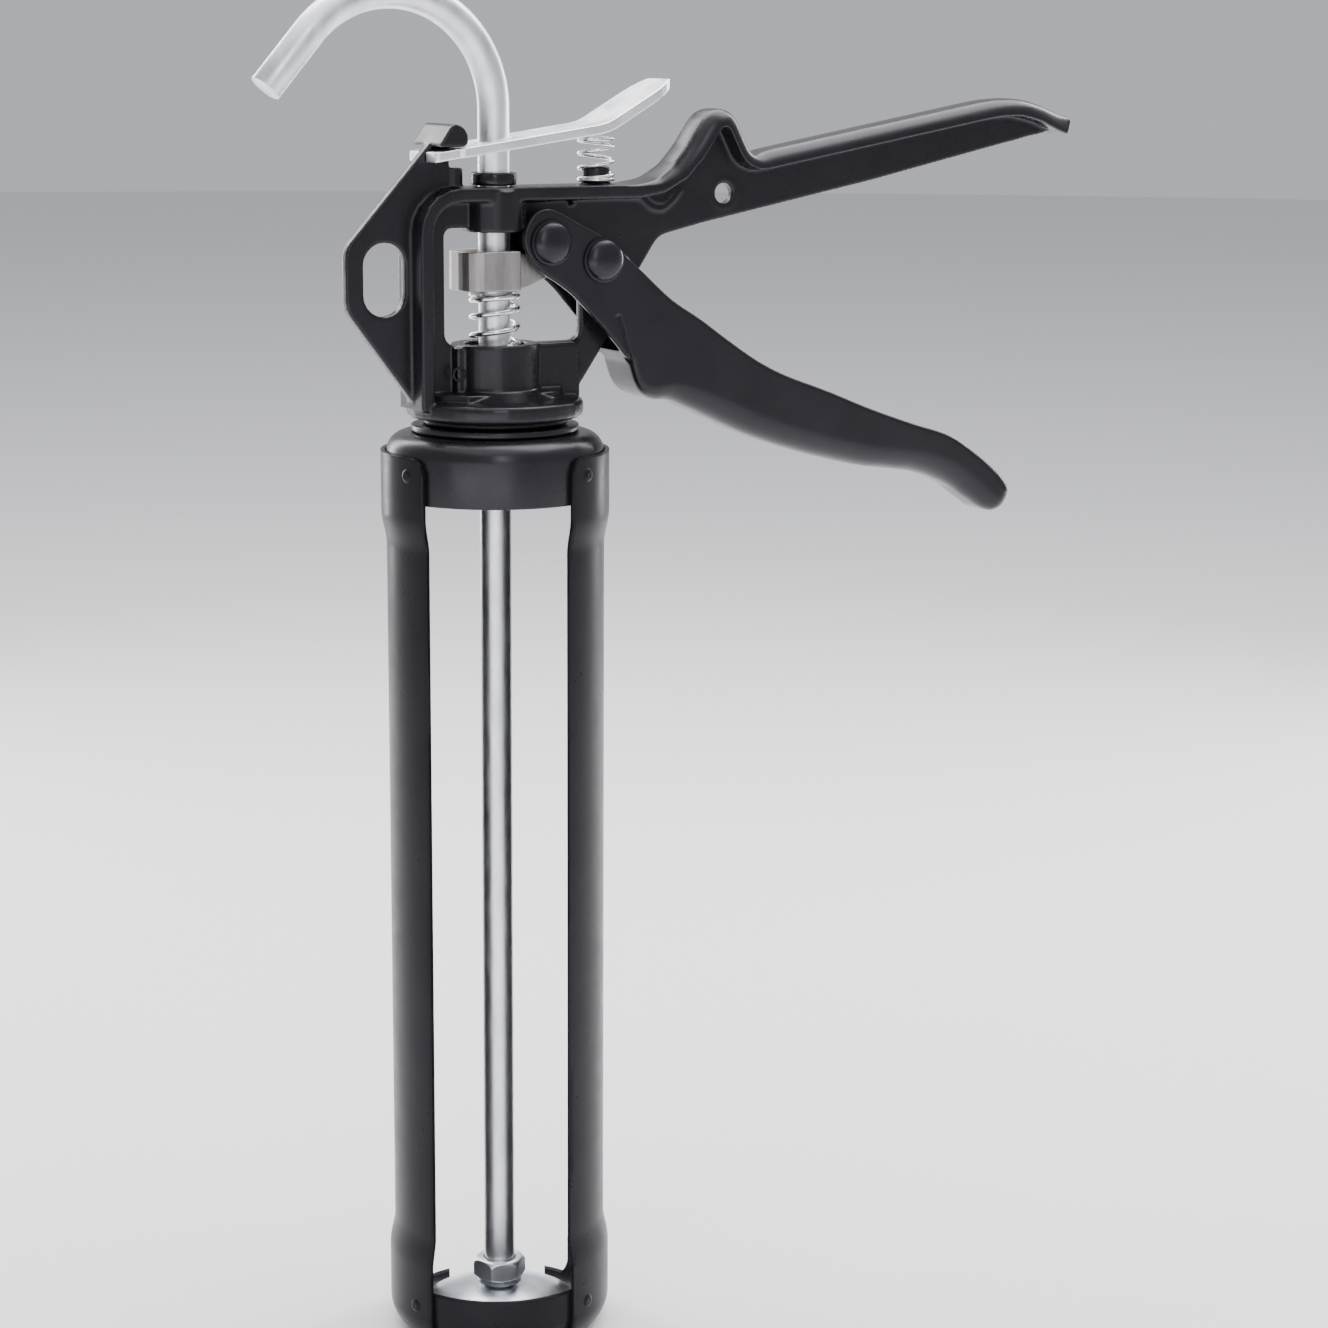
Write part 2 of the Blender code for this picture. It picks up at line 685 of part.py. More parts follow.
def rivets(name, height, inner):
    """Four rivets with low round heads outside the straps."""
    head = STRAP_END_RADIUS + STRAP_THICKNESS + GAP
    profile = [
        (0, head + RIVET_HEAD_HEIGHT),
        (RIVET_HEAD_RADIUS * 0.6, head + RIVET_HEAD_HEIGHT * 0.8),
        (RIVET_HEAD_RADIUS, head),
        (RIVET_RADIUS, head),
        (RIVET_RADIUS, inner),
        (0, inner),
    ]
    for number, place in enumerate(rivet_places(height), start=1):
        smooth(link(turned(profile, RIVET_SEGMENTS, place), f"{name}_{number}", BARREL, BLACK_PAINT))


def barrel_collar():
    inner = COLLAR_RADIUS - COLLAR_WALL
    hole = NECK_RADIUS + RUNNING
    corner = COLLAR_CORNER
    profile = [
        (hole, COLLAR_TOP),
        *quarter((COLLAR_RADIUS - corner, COLLAR_TOP - corner), corner, 90, 0, 5),
        (COLLAR_RADIUS, COLLAR_TOP - COLLAR_HEIGHT),
        (inner, COLLAR_TOP - COLLAR_HEIGHT),
        *quarter((COLLAR_RADIUS - corner, COLLAR_TOP - corner), corner - COLLAR_WALL, 0, 90, 4),
        (hole, COLLAR_TOP - COLLAR_WALL),
    ]
    collar = link(turned(profile), "barrel_collar", BARREL, BLACK_PAINT)
    boolean(collar, rivet_holes(COLLAR_RIVET_HEIGHT), "DIFFERENCE", "collar_rivet_holes")
    smooth(collar)
    rivets("collar_rivet", COLLAR_RIVET_HEIGHT, inner)


def nose_cap():
    middle = (CAP_RADIUS - CAP_CORNER, CAP_CORNER)
    profile = [
        (0, CAP_WALL),
        *quarter(middle, CAP_CORNER - CAP_WALL, -90, 0, 5),
        (CAP_RADIUS - CAP_WALL, CAP_HEIGHT),
        (CAP_RADIUS, CAP_HEIGHT),
        *quarter(middle, CAP_CORNER, 0, -90, 6),
        (0, 0),
    ]
    cap = link(turned(profile), "nose_cap", BARREL, BLACK_PAINT)
    half = CAP_SLOT_WIDTH / 2
    reach = CAP_RADIUS + CUT_PAST
    slot = rounded([(-half, -half, half * 0.98), (half, -half, half * 0.98), (half, reach, 0), (-half, reach, 0)])
    cutter = flat_plate([slot], -CUT_PAST, CAP_HEIGHT + CUT_PAST)
    cutter.transform(barrel_matrix())
    boolean(cap, cutter, "DIFFERENCE", "nozzle_slot")
    near = CAP_RADIUS * math.sin(STRAP_HALF_ANGLE - STRAP_OFFSET)
    opening = [(-reach, near), (reach, near), (reach, reach), (-reach, reach)]
    low_side = flat_plate([opening], CAP_BACK_HEIGHT, CAP_HEIGHT + CUT_PAST)
    low_side.transform(barrel_matrix())
    boolean(cap, low_side, "DIFFERENCE", "loading_side")
    boolean(cap, rivet_holes(NOSE_RIVET_HEIGHT), "DIFFERENCE", "nose_rivet_holes")
    smooth(cap)
    rivets("nose_rivet", NOSE_RIVET_HEIGHT, CAP_RADIUS - CAP_WALL)


def strap_radius(height):
    """Inner radius of a strap: out over the cap and collar, in between the joggles."""
    if height < CAP_CORNER:
        drop = CAP_CORNER - height
        return STRAP_END_RADIUS - CAP_CORNER + math.sqrt(CAP_CORNER ** 2 - drop ** 2)
    lower = min(max((height - LOWER_JOGGLE) / JOGGLE_LENGTH, 0), 1)
    upper = min(max((height - UPPER_JOGGLE) / JOGGLE_LENGTH, 0), 1)
    inward = (1 - math.cos(math.pi * lower)) / 2 - (1 - math.cos(math.pi * upper)) / 2
    return STRAP_END_RADIUS - (STRAP_END_RADIUS - STRAP_WAIST_RADIUS) * inward


def strap_heights():
    curl = [STRAP_BOTTOM + (CAP_CORNER - STRAP_BOTTOM) * step / 3 for step in range(4)]
    lower = [LOWER_JOGGLE + JOGGLE_LENGTH * step / 5 for step in range(6)]
    upper = [UPPER_JOGGLE + JOGGLE_LENGTH * step / 5 for step in range(6)]
    ends = [STRAP_TOP - STRAP_CORNER, STRAP_TOP - STRAP_CORNER / 3, STRAP_TOP]
    return curl + lower + upper + ends


def strap(name, angle):
    """A strap bent from a flat grid, its top corners rounded, then given its thickness."""
    heights = strap_heights()
    bm = bmesh.new()
    bmesh.ops.create_grid(bm, x_segments=STRAP_COLUMNS, y_segments=len(heights) - 1, size=0.5)
    for vert in bm.verts:
        across = vert.co.x * 2
        height = heights[round((vert.co.y + 0.5) * (len(heights) - 1))]
        edge = (1 - abs(across)) * STRAP_HALF_ANGLE * STRAP_END_RADIUS
        if height > STRAP_TOP - STRAP_CORNER and edge < STRAP_CORNER:
            drop = STRAP_CORNER - math.sqrt(STRAP_CORNER ** 2 - (STRAP_CORNER - edge) ** 2)
            share = (height - STRAP_TOP + STRAP_CORNER) / STRAP_CORNER
            height -= drop * share * CORNER_DROP_SHARE
        radius = strap_radius(height)
        turn = across * STRAP_HALF_ANGLE
        vert.co = (radius * math.cos(turn), radius * math.sin(turn), height)
    bmesh.ops.transform(bm, matrix=barrel_matrix(angle), verts=bm.verts)
    mesh = bpy.data.meshes.new(name)
    bm.to_mesh(mesh)
    bm.free()
    made = link(mesh, name, BARREL, BLACK_PAINT)
    wall = made.modifiers.new("wall", "SOLIDIFY")
    wall.thickness = STRAP_THICKNESS
    wall.offset = 1.0
    wall.use_even_offset = True
    for place, height in (("top", COLLAR_RIVET_HEIGHT), ("bottom", NOSE_RIVET_HEIGHT)):
        boolean(made, rivet_holes(height), "DIFFERENCE", f"{name}_{place}_rivet_holes")
    smooth(made, 50)


# ---------------------------------------------------------------- trigger

def finger_side():
    return rounded(FINGER_SIDE_CORNERS)


def trigger_outline():
    sharp = [(point.x, point.y, 0) for point in finger_side()]
    return rounded(CHEEK_CORNERS + sharp + GRIP_SIDE_CORNERS)


def channel_outline():
    """Inside of the trigger's channel, open towards the grip and between the cheeks."""
    back = [point for point in offset(finger_side(), TRIGGER_BACK) if point.x < TRIGGER_TIP_SOLID]
    first = back[0] + Vector((-0.004, 0.004))
    last = back[-1]
    rim = [Vector((last.x + 0.003, last.y + 0.006)), Vector((last.x, last.y + 0.030))]
    return [first, *back, *rim, *BACK_OPENING]


def trigger():
    made = link(side_plate([trigger_outline()], TRIGGER_WIDTH), "trigger", TRIGGER, BLACK_PAINT)
    channel = side_plate([channel_outline()], TRIGGER_WIDTH - 2 * TRIGGER_WALL)
    boolean(made, channel, "DIFFERENCE", "channel")
    holes = [
        post(PIN_RADIUS + GAP, -TRIGGER_WIDTH, TRIGGER_WIDTH, SMALL_SEGMENTS, along_y(PIVOT)),
        post(PIN_RADIUS + GAP, -TRIGGER_WIDTH, TRIGGER_WIDTH, SMALL_SEGMENTS, along_y(DRIVE_PIN)),
    ]
    boolean(made, join_meshes(holes), "DIFFERENCE", "pin_holes")
    half = TRIGGER_WIDTH / 2 + GAP
    end = TRIGGER_TIP_WIDTH / 2
    plan = rounded([
        (-CUT_PAST, -half, 0),
        (TRIGGER_TIP - TRIGGER_TAPER, -half, 0),
        (TRIGGER_TIP, -end, TRIGGER_TIP_ROUND),
        (TRIGGER_TIP, end, TRIGGER_TIP_ROUND),
        (TRIGGER_TIP - TRIGGER_TAPER, half, 0),
        (-CUT_PAST, half, 0),
    ])
    cutter = flat_plate([plan], -BEAM_TOP, BEAM_TOP)
    boolean(made, cutter, "INTERSECT", "tip_plan")
    smooth(made)


def domed_pin(name, point):
    """A cross pin with a domed head outside each cheek."""
    cheek = TRIGGER_WIDTH / 2 + GAP
    top = cheek + PIN_HEAD_HEIGHT
    sphere = (PIN_HEAD_RADIUS ** 2 + PIN_HEAD_HEIGHT ** 2) / (2 * PIN_HEAD_HEIGHT)
    reach = math.degrees(math.asin(PIN_HEAD_RADIUS / sphere))
    dome = quarter((0, top - sphere), sphere, 90, 90 - reach, 4)
    upper = [(0, top), *dome[1:], (PIN_RADIUS, cheek)]
    lower = [(radius, -height) for radius, height in reversed(upper)]
    smooth(link(turned(upper + lower, SMALL_SEGMENTS, along_y(point)), name, TRIGGER, BLACK_PAINT))


def pivot_bush():
    reach = TRIGGER_WIDTH / 2 - TRIGGER_WALL - GAP
    tube = ring(PIN_RADIUS + GAP, BUSH_RADIUS, -reach, reach, SMALL_SEGMENTS, along_y(PIVOT))
    smooth(link(tube, "pivot_bush", TRIGGER, ZINC))


# ---------------------------------------------------------------- drive plate, lever and springs

def drive_plate():
    half = PLATE_WIDTH / 2
    block = rounded([
        (PLATE_LEFT, -half, PLATE_CORNER),
        (PLATE_RIGHT, -half, PLATE_EDGE),
        (PLATE_RIGHT, half, PLATE_EDGE),
        (PLATE_LEFT, half, PLATE_CORNER),
    ])
    top = PLATE_BOTTOM + PLATE_THICKNESS
    made = link(flat_plate([block], PLATE_BOTTOM, top), "drive_plate", DRIVE, GREY_STEEL)
    under = PLATE_BOTTOM + GAP
    tongue = rounded([
        (0.0, under, 0),
        (PLATE_RIGHT + 0.003, under, 0.004),
        (TONGUE_END, PLATE_TOP - TONGUE_TIP, 0.002),
        (TONGUE_END, PLATE_TOP, 0.0008),
        (0.0, PLATE_TOP, 0),
    ])
    boolean(made, side_plate([tongue], TONGUE_WIDTH), "UNION", "tongue")
    bore = post(ROD_RADIUS + RUNNING, PLATE_BOTTOM - CUT_PAST, top + CUT_PAST, BORE_SEGMENTS)
    boolean(made, bore, "DIFFERENCE", "plate_bore")
    smooth(made)


def drive_spring():
    bottom = SEAT_TOP - SPRING_RECESS_DEPTH + GAP
    top = PLATE_BOTTOM - GAP
    spring = coil(0, bottom, top, DRIVE_SPRING_RADIUS, DRIVE_WIRE, DRIVE_SPRING_TURNS)
    smooth(link(spring, "drive_spring", DRIVE, ZINC), 60)


def lever_line(x):
    """Underside of the lever at x: level with its tilt, then the paddle."""
    if x <= LEVER_BEND:
        return LEVER_HEIGHT + x * math.tan(LEVER_TILT)
    return lever_line(LEVER_BEND) + (x - LEVER_BEND) * math.tan(PADDLE_ANGLE)


def release_lever():
    """Side shape of the lever, cut to its plan: forked end, rod hole and round paddle."""
    tip = LEVER_BEND + PADDLE_LENGTH * math.cos(PADDLE_ANGLE)
    rise = LEVER_THICKNESS / math.cos(LEVER_TILT)
    under = [(LEVER_LEFT, lever_line(LEVER_LEFT), 0), (LEVER_BEND, lever_line(LEVER_BEND), 0.014)]
    under.append((tip, lever_line(tip), 0.0008))
    over = [(tip - LEVER_THICKNESS / 2, lever_line(tip) + LEVER_THICKNESS * PADDLE_TIP_SHARE, 0.0008)]
    over.append((LEVER_BEND - LEVER_THICKNESS / 4, lever_line(LEVER_BEND) + rise, 0.012))
    over.append((LEVER_LEFT, lever_line(LEVER_LEFT) + rise, 0))
    side = side_plate([rounded(under + over)], LEVER_WIDTH + 2 * CUT_PAST)
    made = link(side, "release_lever", RELEASE, ZINC)
    wide = LEVER_WIDTH / 2
    fork = LEVER_FORK_WIDTH / 2
    slot = WEB_THICKNESS / 2 + RUNNING
    slot_end = FIN_RIGHT + FORK_SLOT_DEPTH
    step = HEAD_LEFT + FORK_STEP
    plan = rounded([
        (LEVER_LEFT - GAP, -fork, 0.0015),
        (step, -fork, 0.001),
        (step + 0.001, -wide, 0.002),
        (tip + GAP, -wide, wide * 0.97),
        (tip + GAP, wide, wide * 0.97),
        (step + 0.001, wide, 0.002),
        (step, fork, 0.001),
        (LEVER_LEFT - GAP, fork, 0.0015),
        (LEVER_LEFT - GAP, slot, 0),
        (slot_end, slot, 0),
        (slot_end, -slot, 0),
        (LEVER_LEFT - GAP, -slot, 0),
    ])
    hole = [Vector((p.x * LEVER_HOLE[0], p.y * LEVER_HOLE[1])) for p in circle((0, 0), 1)]
    cutter = flat_plate([plan, hole], BEAM_TOP - CUT_PAST, lever_line(tip) + 2 * CUT_PAST)
    boolean(made, cutter, "INTERSECT", "lever_plan")
    smooth(made)


def release_spring():
    bottom = BEAM_TOP + GAP
    top = lever_line(RELEASE_SPRING_X - RELEASE_SPRING_RADIUS) - GAP
    spring = coil(RELEASE_SPRING_X, bottom, top, RELEASE_SPRING_RADIUS, RELEASE_WIRE, RELEASE_SPRING_TURNS)
    smooth(link(spring, "release_spring", RELEASE, ZINC), 60)


# ---------------------------------------------------------------- push rod and plunger

def push_rod():
    """Straight rod, then the arc of the hook and its straight tail."""
    start = COLLAR_TOP + HOOK_RISE
    points = [Vector((0, 0, 0)), Vector((0, 0, start / 2)), Vector((0, 0, start))]
    steps = math.ceil(HOOK_BEND / HOOK_STEP)
    for step in range(1, steps + 1):
        turn = HOOK_BEND * step / steps
        x = -HOOK_RADIUS + HOOK_RADIUS * math.cos(turn)
        points.append(Vector((x, 0, start + HOOK_RADIUS * math.sin(turn))))
    tail = Vector((-math.sin(HOOK_BEND), 0, math.cos(HOOK_BEND)))
    points.append(points[-1] + tail * HOOK_TAIL)
    smooth(link(wire(points, 2 * ROD_RADIUS), "push_rod", ROD, CHROME), 50)


def hex_nut(name, bottom, height):
    """A bored hexagon with both its faces chamfered."""
    corner = NUT_ACROSS_FLATS / math.sqrt(3)
    flat = NUT_ACROSS_FLATS / 2
    turns = [NUT_TURN + math.pi * side / 3 for side in range(6)]
    hexagon = [Vector((corner * math.cos(turn), corner * math.sin(turn))) for turn in turns]
    hole = circle((0, 0), ROD_RADIUS + GAP)
    made = link(flat_plate([hexagon, hole], bottom, bottom + height), name, PLUNGER, ZINC)
    inner = flat - NUT_FACE_EDGE
    outer = corner + NUT_FACE_EDGE
    profile = [
        (0, bottom + height + GAP),
        (inner, bottom + height + GAP),
        (outer, bottom + height - NUT_CHAMFER),
        (outer, bottom + NUT_CHAMFER),
        (inner, bottom - GAP),
        (0, bottom - GAP),
    ]
    boolean(made, turned(profile, BORE_SEGMENTS), "INTERSECT", f"{name}_chamfer")
    smooth(made, 30)


def plunger_disc():
    hole = ROD_RADIUS + GAP
    steps = 4
    radii = [hole + (DISC_RADIUS - hole) * step / steps for step in range(steps + 1)]
    upper = [(r, DISC_CENTRE_TOP - DISC_DOME * (r / DISC_RADIUS) ** 2) for r in radii]
    lower = [(r, z - DISC_THICKNESS) for r, z in reversed(upper)]
    smooth(link(turned(upper + lower), "plunger_disc", PLUNGER, ZINC), 60)


def plunger_fasteners():
    washer_bottom = DISC_CENTRE_TOP + GAP
    nut_bottom = washer_bottom + WASHER_THICKNESS + GAP
    washer = ring(ROD_RADIUS + GAP, WASHER_RADIUS, washer_bottom, nut_bottom - GAP, BORE_SEGMENTS)
    smooth(link(washer, "spring_washer", PLUNGER, ZINC))
    hex_nut("plunger_nut", nut_bottom, NUT_HEIGHT)
    low = DISC_UNDER - DISC_DOME * (NUT_ACROSS_FLATS / math.sqrt(3) / DISC_RADIUS) ** 2 - GAP
    hex_nut("lower_nut", low - LOWER_NUT_HEIGHT, LOWER_NUT_HEIGHT)


# ---------------------------------------------------------------- build

clear_scene()
PARTS = collection(OBJECT_NAME)
TOOLS = collection("tools")
NOSE_FRAME = Vector((0, 0, 0))
HANDLE_FRAME = Vector((0, 0, COLLAR_TOP))
HANDLE = body_empty("handle", (0, 0, 0), HANDLE_FRAME)
BARREL = body_empty("barrel_axis", (0, 0, 0), NOSE_FRAME)
PLUNGER = body_empty("plunger_axis", (0, 0, 0), NOSE_FRAME)
ROD = body_empty("rod_axis", (0, 0, 0), NOSE_FRAME)
TRIGGER = body_empty("trigger_axis", (PIVOT[0], 0, PIVOT[1]), HANDLE_FRAME)
DRIVE = body_empty("drive_axis", (0, 0, PLATE_BOTTOM), HANDLE_FRAME)
RELEASE = body_empty("lever_axis", (LEVER_AXIS[0], 0, LEVER_AXIS[1]), HANDLE_FRAME)
STRAP_ANGLES = (-STRAP_OFFSET, math.pi + STRAP_OFFSET)
BLACK_PAINT = material("black_paint", (0.012, 0.011, 0.014), 0.38, 0.0)
CHROME = material("chrome", (0.62, 0.63, 0.66), 0.14, 1.0)
ZINC = material("zinc_plate", (0.72, 0.74, 0.78), 0.25, 1.0)
GREY_STEEL = material("grey_steel", (0.20, 0.19, 0.19), 0.45, 1.0)
SPRING_STEEL = material("spring_steel", (0.10, 0.10, 0.11), 0.40, 1.0)

handle_casting()
rod_guide_ring()
neck_rings()
barrel_collar()
strap("right_rail", STRAP_ANGLES[0])
strap("left_rail", STRAP_ANGLES[1])
nose_cap()
trigger()
domed_pin("trigger_pivot_pin", PIVOT)
domed_pin("drive_pin", DRIVE_PIN)
pivot_bush()
drive_plate()
drive_spring()
release_lever()
release_spring()
push_rod()
plunger_disc()
plunger_fasteners()
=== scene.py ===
"""Looks of the skeleton caulking gun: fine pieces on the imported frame, materials and studio.

Metres, +Z up, in the row's frame: the rod is the Z axis and the nose is at Z = 0.
"""

import math

import bmesh
import bpy
import numpy as np
from mathutils import Matrix, Vector
from mathutils.bvhtree import BVHTree


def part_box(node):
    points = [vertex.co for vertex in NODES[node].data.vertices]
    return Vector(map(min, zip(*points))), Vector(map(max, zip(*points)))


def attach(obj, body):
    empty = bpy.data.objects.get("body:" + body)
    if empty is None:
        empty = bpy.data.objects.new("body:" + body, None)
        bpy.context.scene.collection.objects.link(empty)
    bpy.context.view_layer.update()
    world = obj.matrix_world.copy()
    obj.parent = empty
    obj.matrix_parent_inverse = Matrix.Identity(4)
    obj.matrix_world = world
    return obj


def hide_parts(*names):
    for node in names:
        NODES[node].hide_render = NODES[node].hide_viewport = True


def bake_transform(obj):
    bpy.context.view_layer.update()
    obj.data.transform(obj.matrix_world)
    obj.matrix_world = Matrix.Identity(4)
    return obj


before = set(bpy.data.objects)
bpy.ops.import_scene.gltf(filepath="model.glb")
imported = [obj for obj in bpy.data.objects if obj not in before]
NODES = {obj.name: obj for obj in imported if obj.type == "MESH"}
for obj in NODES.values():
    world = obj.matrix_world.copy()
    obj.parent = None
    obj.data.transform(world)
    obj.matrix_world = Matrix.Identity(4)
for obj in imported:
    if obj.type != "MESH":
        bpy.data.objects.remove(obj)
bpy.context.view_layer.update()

# Sizes shared with the frame. Those of the side view are (x, z).
GAP = 0.0003
BARREL_TURN = math.radians(-25)
COLLAR_TOP = 0.238
BARREL_RADIUS = 0.0275
ROD_RADIUS = 0.004
BEAM_TOP = 0.299
SEAT_TOP = 0.2602
FLANGE_TOP = 0.2464
SPRING_SEAT = SEAT_TOP - 0.004
RELEASE_SPRING_X = 0.0289
PIVOT = (0.0268, 0.2805)
DRIVE_PIN = (0.012, 0.2852)
TRIGGER_HALF = 0.008
ROUND = 128
CURVE_STEPS = 6
RELAX = 0.5
BIG_VOXEL = 0.00034


# ---------------------------------------------------------------- node materials

def new_material(name, colour, roughness, metallic):
    paint = bpy.data.materials.new(name)
    paint.use_nodes = True
    shader = paint.node_tree.nodes["Principled BSDF"]
    shader.inputs["Base Color"].default_value = (*colour, 1.0)
    shader.inputs["Roughness"].default_value = roughness
    shader.inputs["Metallic"].default_value = metallic
    return paint


def node(paint, kind, **values):
    made = paint.node_tree.nodes.new(kind)
    for key, value in values.items():
        setattr(made, key, value)
    return made


def noise(paint, scale, detail=3.0, rough=0.55, stretch=(1, 1, 1)):
    """Noise in the piece's own coordinates. Scale is in cells per metre."""
    tree = paint.node_tree
    place = node(paint, "ShaderNodeTexCoord")
    mapping = node(paint, "ShaderNodeMapping")
    mapping.inputs["Scale"].default_value = stretch
    made = node(paint, "ShaderNodeTexNoise")
    made.inputs["Scale"].default_value = scale
    made.inputs["Detail"].default_value = detail
    made.inputs["Roughness"].default_value = rough
    tree.links.new(place.outputs["Object"], mapping.inputs["Vector"])
    tree.links.new(mapping.outputs["Vector"], made.inputs["Vector"])
    return made.outputs["Fac"]


def spread(paint, source, low, high, start=0.3, end=0.7):
    """Maps a noise output to a range of numbers."""
    made = node(paint, "ShaderNodeMapRange")
    made.inputs["From Min"].default_value = start
    made.inputs["From Max"].default_value = end
    made.inputs["To Min"].default_value = low
    made.inputs["To Max"].default_value = high
    paint.node_tree.links.new(source, made.inputs["Value"])
    return made.outputs["Result"]


def two_colours(paint, source, first, second, start=0.35, end=0.65):
    """Turns a noise output into a colour between two, through start and end."""
    ramp = node(paint, "ShaderNodeValToRGB")
    ramp.color_ramp.elements[0].position = start
    ramp.color_ramp.elements[0].color = (*first, 1)
    ramp.color_ramp.elements[1].position = end
    ramp.color_ramp.elements[1].color = (*second, 1)
    paint.node_tree.links.new(source, ramp.inputs["Fac"])
    return ramp.outputs["Color"]


def set_input(paint, name, source):
    shader = paint.node_tree.nodes["Principled BSDF"]
    paint.node_tree.links.new(source, shader.inputs[name])


def bump(paint, source, distance, strength=1.0):
    made = node(paint, "ShaderNodeBump")
    made.inputs["Distance"].default_value = distance
    made.inputs["Strength"].default_value = strength
    paint.node_tree.links.new(source, made.inputs["Height"])
    set_input(paint, "Normal", made.outputs["Normal"])


def paint_coat(name, dark, light, low, high, grain, gloss=0.34):
    """Satin powder coat: a fine grain, and slow changes of roughness (low to high) and tone."""
    paint = new_material(name, dark, low, 0.0)
    cloud = noise(paint, 45, 4)
    set_input(paint, "Base Color", two_colours(paint, cloud, dark, light))
    set_input(paint, "Roughness", spread(paint, noise(paint, 160, 3), low, high))
    bump(paint, noise(paint, 420, 2), grain, 0.3)
    shader = paint.node_tree.nodes["Principled BSDF"]
    shader.inputs["Specular IOR Level"].default_value = gloss
    shader.inputs["Specular Tint"].default_value = (0.95, 0.91, 1.0, 1.0)
    return paint


def plated(name, first, second, low, high, cells, grain, stretch=(1, 1, 1)):
    """Plated or drawn metal: two tones in patches, roughness from low to high, a fine grain."""
    metal = new_material(name, first, low, 1.0)
    patch = noise(metal, cells, 5, 0.6, stretch)
    set_input(metal, "Base Color", two_colours(metal, patch, first, second))
    finer = noise(metal, cells * 2.3, 4, 0.6, stretch)
    set_input(metal, "Roughness", spread(metal, finer, low, high))
    bump(metal, noise(metal, cells * 6, 3, 0.5, stretch), grain)
    return metal


BLACK = paint_coat(
    "black_paint", (0.0060, 0.0052, 0.0072), (0.0085, 0.0074, 0.0102),
    low=0.25, high=0.34, grain=0.000006, gloss=0.38,
)
RAIL_PAINT = paint_coat(
    "black_rail", (0.0085, 0.0075, 0.0097), (0.0120, 0.0106, 0.0137),
    low=0.27, high=0.35, grain=0.000004, gloss=0.13,
)
TRIGGER_PAINT = paint_coat(
    "black_trigger", (0.0070, 0.0062, 0.0084), (0.0098, 0.0088, 0.0118),
    low=0.28, high=0.38, grain=0.000005,
)
GLOSS = paint_coat(
    "black_gloss", (0.0070, 0.0070, 0.0085), (0.0105, 0.0100, 0.0120),
    low=0.16, high=0.24, grain=0.000003,
)
ZINC = plated(
    "zinc_plate", (0.82, 0.85, 0.90), (0.94, 0.94, 0.95),
    low=0.30, high=0.46, cells=60, grain=0.000006,
)
DISC_ZINC = plated(
    "disc_zinc", (0.84, 0.89, 0.97), (0.97, 0.96, 0.98),
    low=0.26, high=0.40, cells=90, grain=0.000008,
)
ROD_METAL = plated(
    "bright_rod", (0.68, 0.69, 0.73), (0.90, 0.91, 0.94),
    low=0.32, high=0.46, cells=170, grain=0.000003, stretch=(1, 1, 0.30),
)
WIRE_METAL = plated(
    "bright_wire", (0.68, 0.68, 0.68), (0.86, 0.86, 0.86),
    low=0.14, high=0.26, cells=300, grain=0.000006,
)
GREY_STEEL = plated(
    "grey_steel", (0.25, 0.235, 0.23), (0.36, 0.34, 0.33),
    low=0.34, high=0.48, cells=420, grain=0.000010, stretch=(1, 1, 0.12),
)
SPRING_STEEL = plated(
    "spring_steel", (0.09, 0.09, 0.10), (0.15, 0.15, 0.16),
    low=0.32, high=0.46, cells=300, grain=0.000006,
)


# ---------------------------------------------------------------- shape helpers

def add_object(mesh, name, paint):
    """Puts a mesh in the scene as a named piece with one paint."""
    made = bpy.data.objects.new(name, mesh)
    bpy.context.scene.collection.objects.link(made)
    mesh.materials.clear()
    mesh.materials.append(paint)
    return made


def smooth(made, angle=40):
    """Shades a piece smooth, with the edges sharper than an angle in degrees kept sharp."""
    made.data.shade_smooth()
    made.data.set_sharp_from_angle(angle=math.radians(angle))


def fix(made, body, slot, *stands_for):
    """Rides a finished piece on its body, in the place of its CAD nodes."""
    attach(made, body)
    if stands_for:
        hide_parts(*stands_for)
    return made


def evaluated_mesh(made, matrix=None):
    """The finished mesh of an object after its modifiers, welded and facing outwards."""
    depsgraph = bpy.context.evaluated_depsgraph_get()
    mesh = bpy.data.meshes.new_from_object(made.evaluated_get(depsgraph))
    bm = bmesh.new()
    bm.from_mesh(mesh)
    bmesh.ops.remove_doubles(bm, verts=bm.verts, dist=0.000004)
    if matrix:
        bmesh.ops.transform(bm, matrix=matrix, verts=bm.verts)
    bmesh.ops.recalc_face_normals(bm, faces=bm.faces)
    if bm.calc_volume(signed=True) < 0:
        bmesh.ops.reverse_faces(bm, faces=bm.faces)
    bm.to_mesh(mesh)
    bm.free()
    bpy.data.objects.remove(made, do_unlink=True)
    return mesh


def loose(mesh, name="loose"):
    made = bpy.data.objects.new(name, mesh)
    bpy.context.scene.collection.objects.link(made)
    return made


def modified(mesh, *steps):
    """The mesh after modifiers, each (kind, settings)."""
    made = loose(mesh)
    for kind, values in steps:
        step = made.modifiers.new(kind, kind)
        for key, value in values.items():
            setattr(step, key, value)
    return evaluated_mesh(made)


def bevel(width, segments, angle):
    """A modifier step that bevels the edges sharper than an angle in degrees."""
    values = {"width": width, "segments": segments, "limit_method": "ANGLE"}
    values["angle_limit"] = math.radians(angle)
    return ("BEVEL", values)


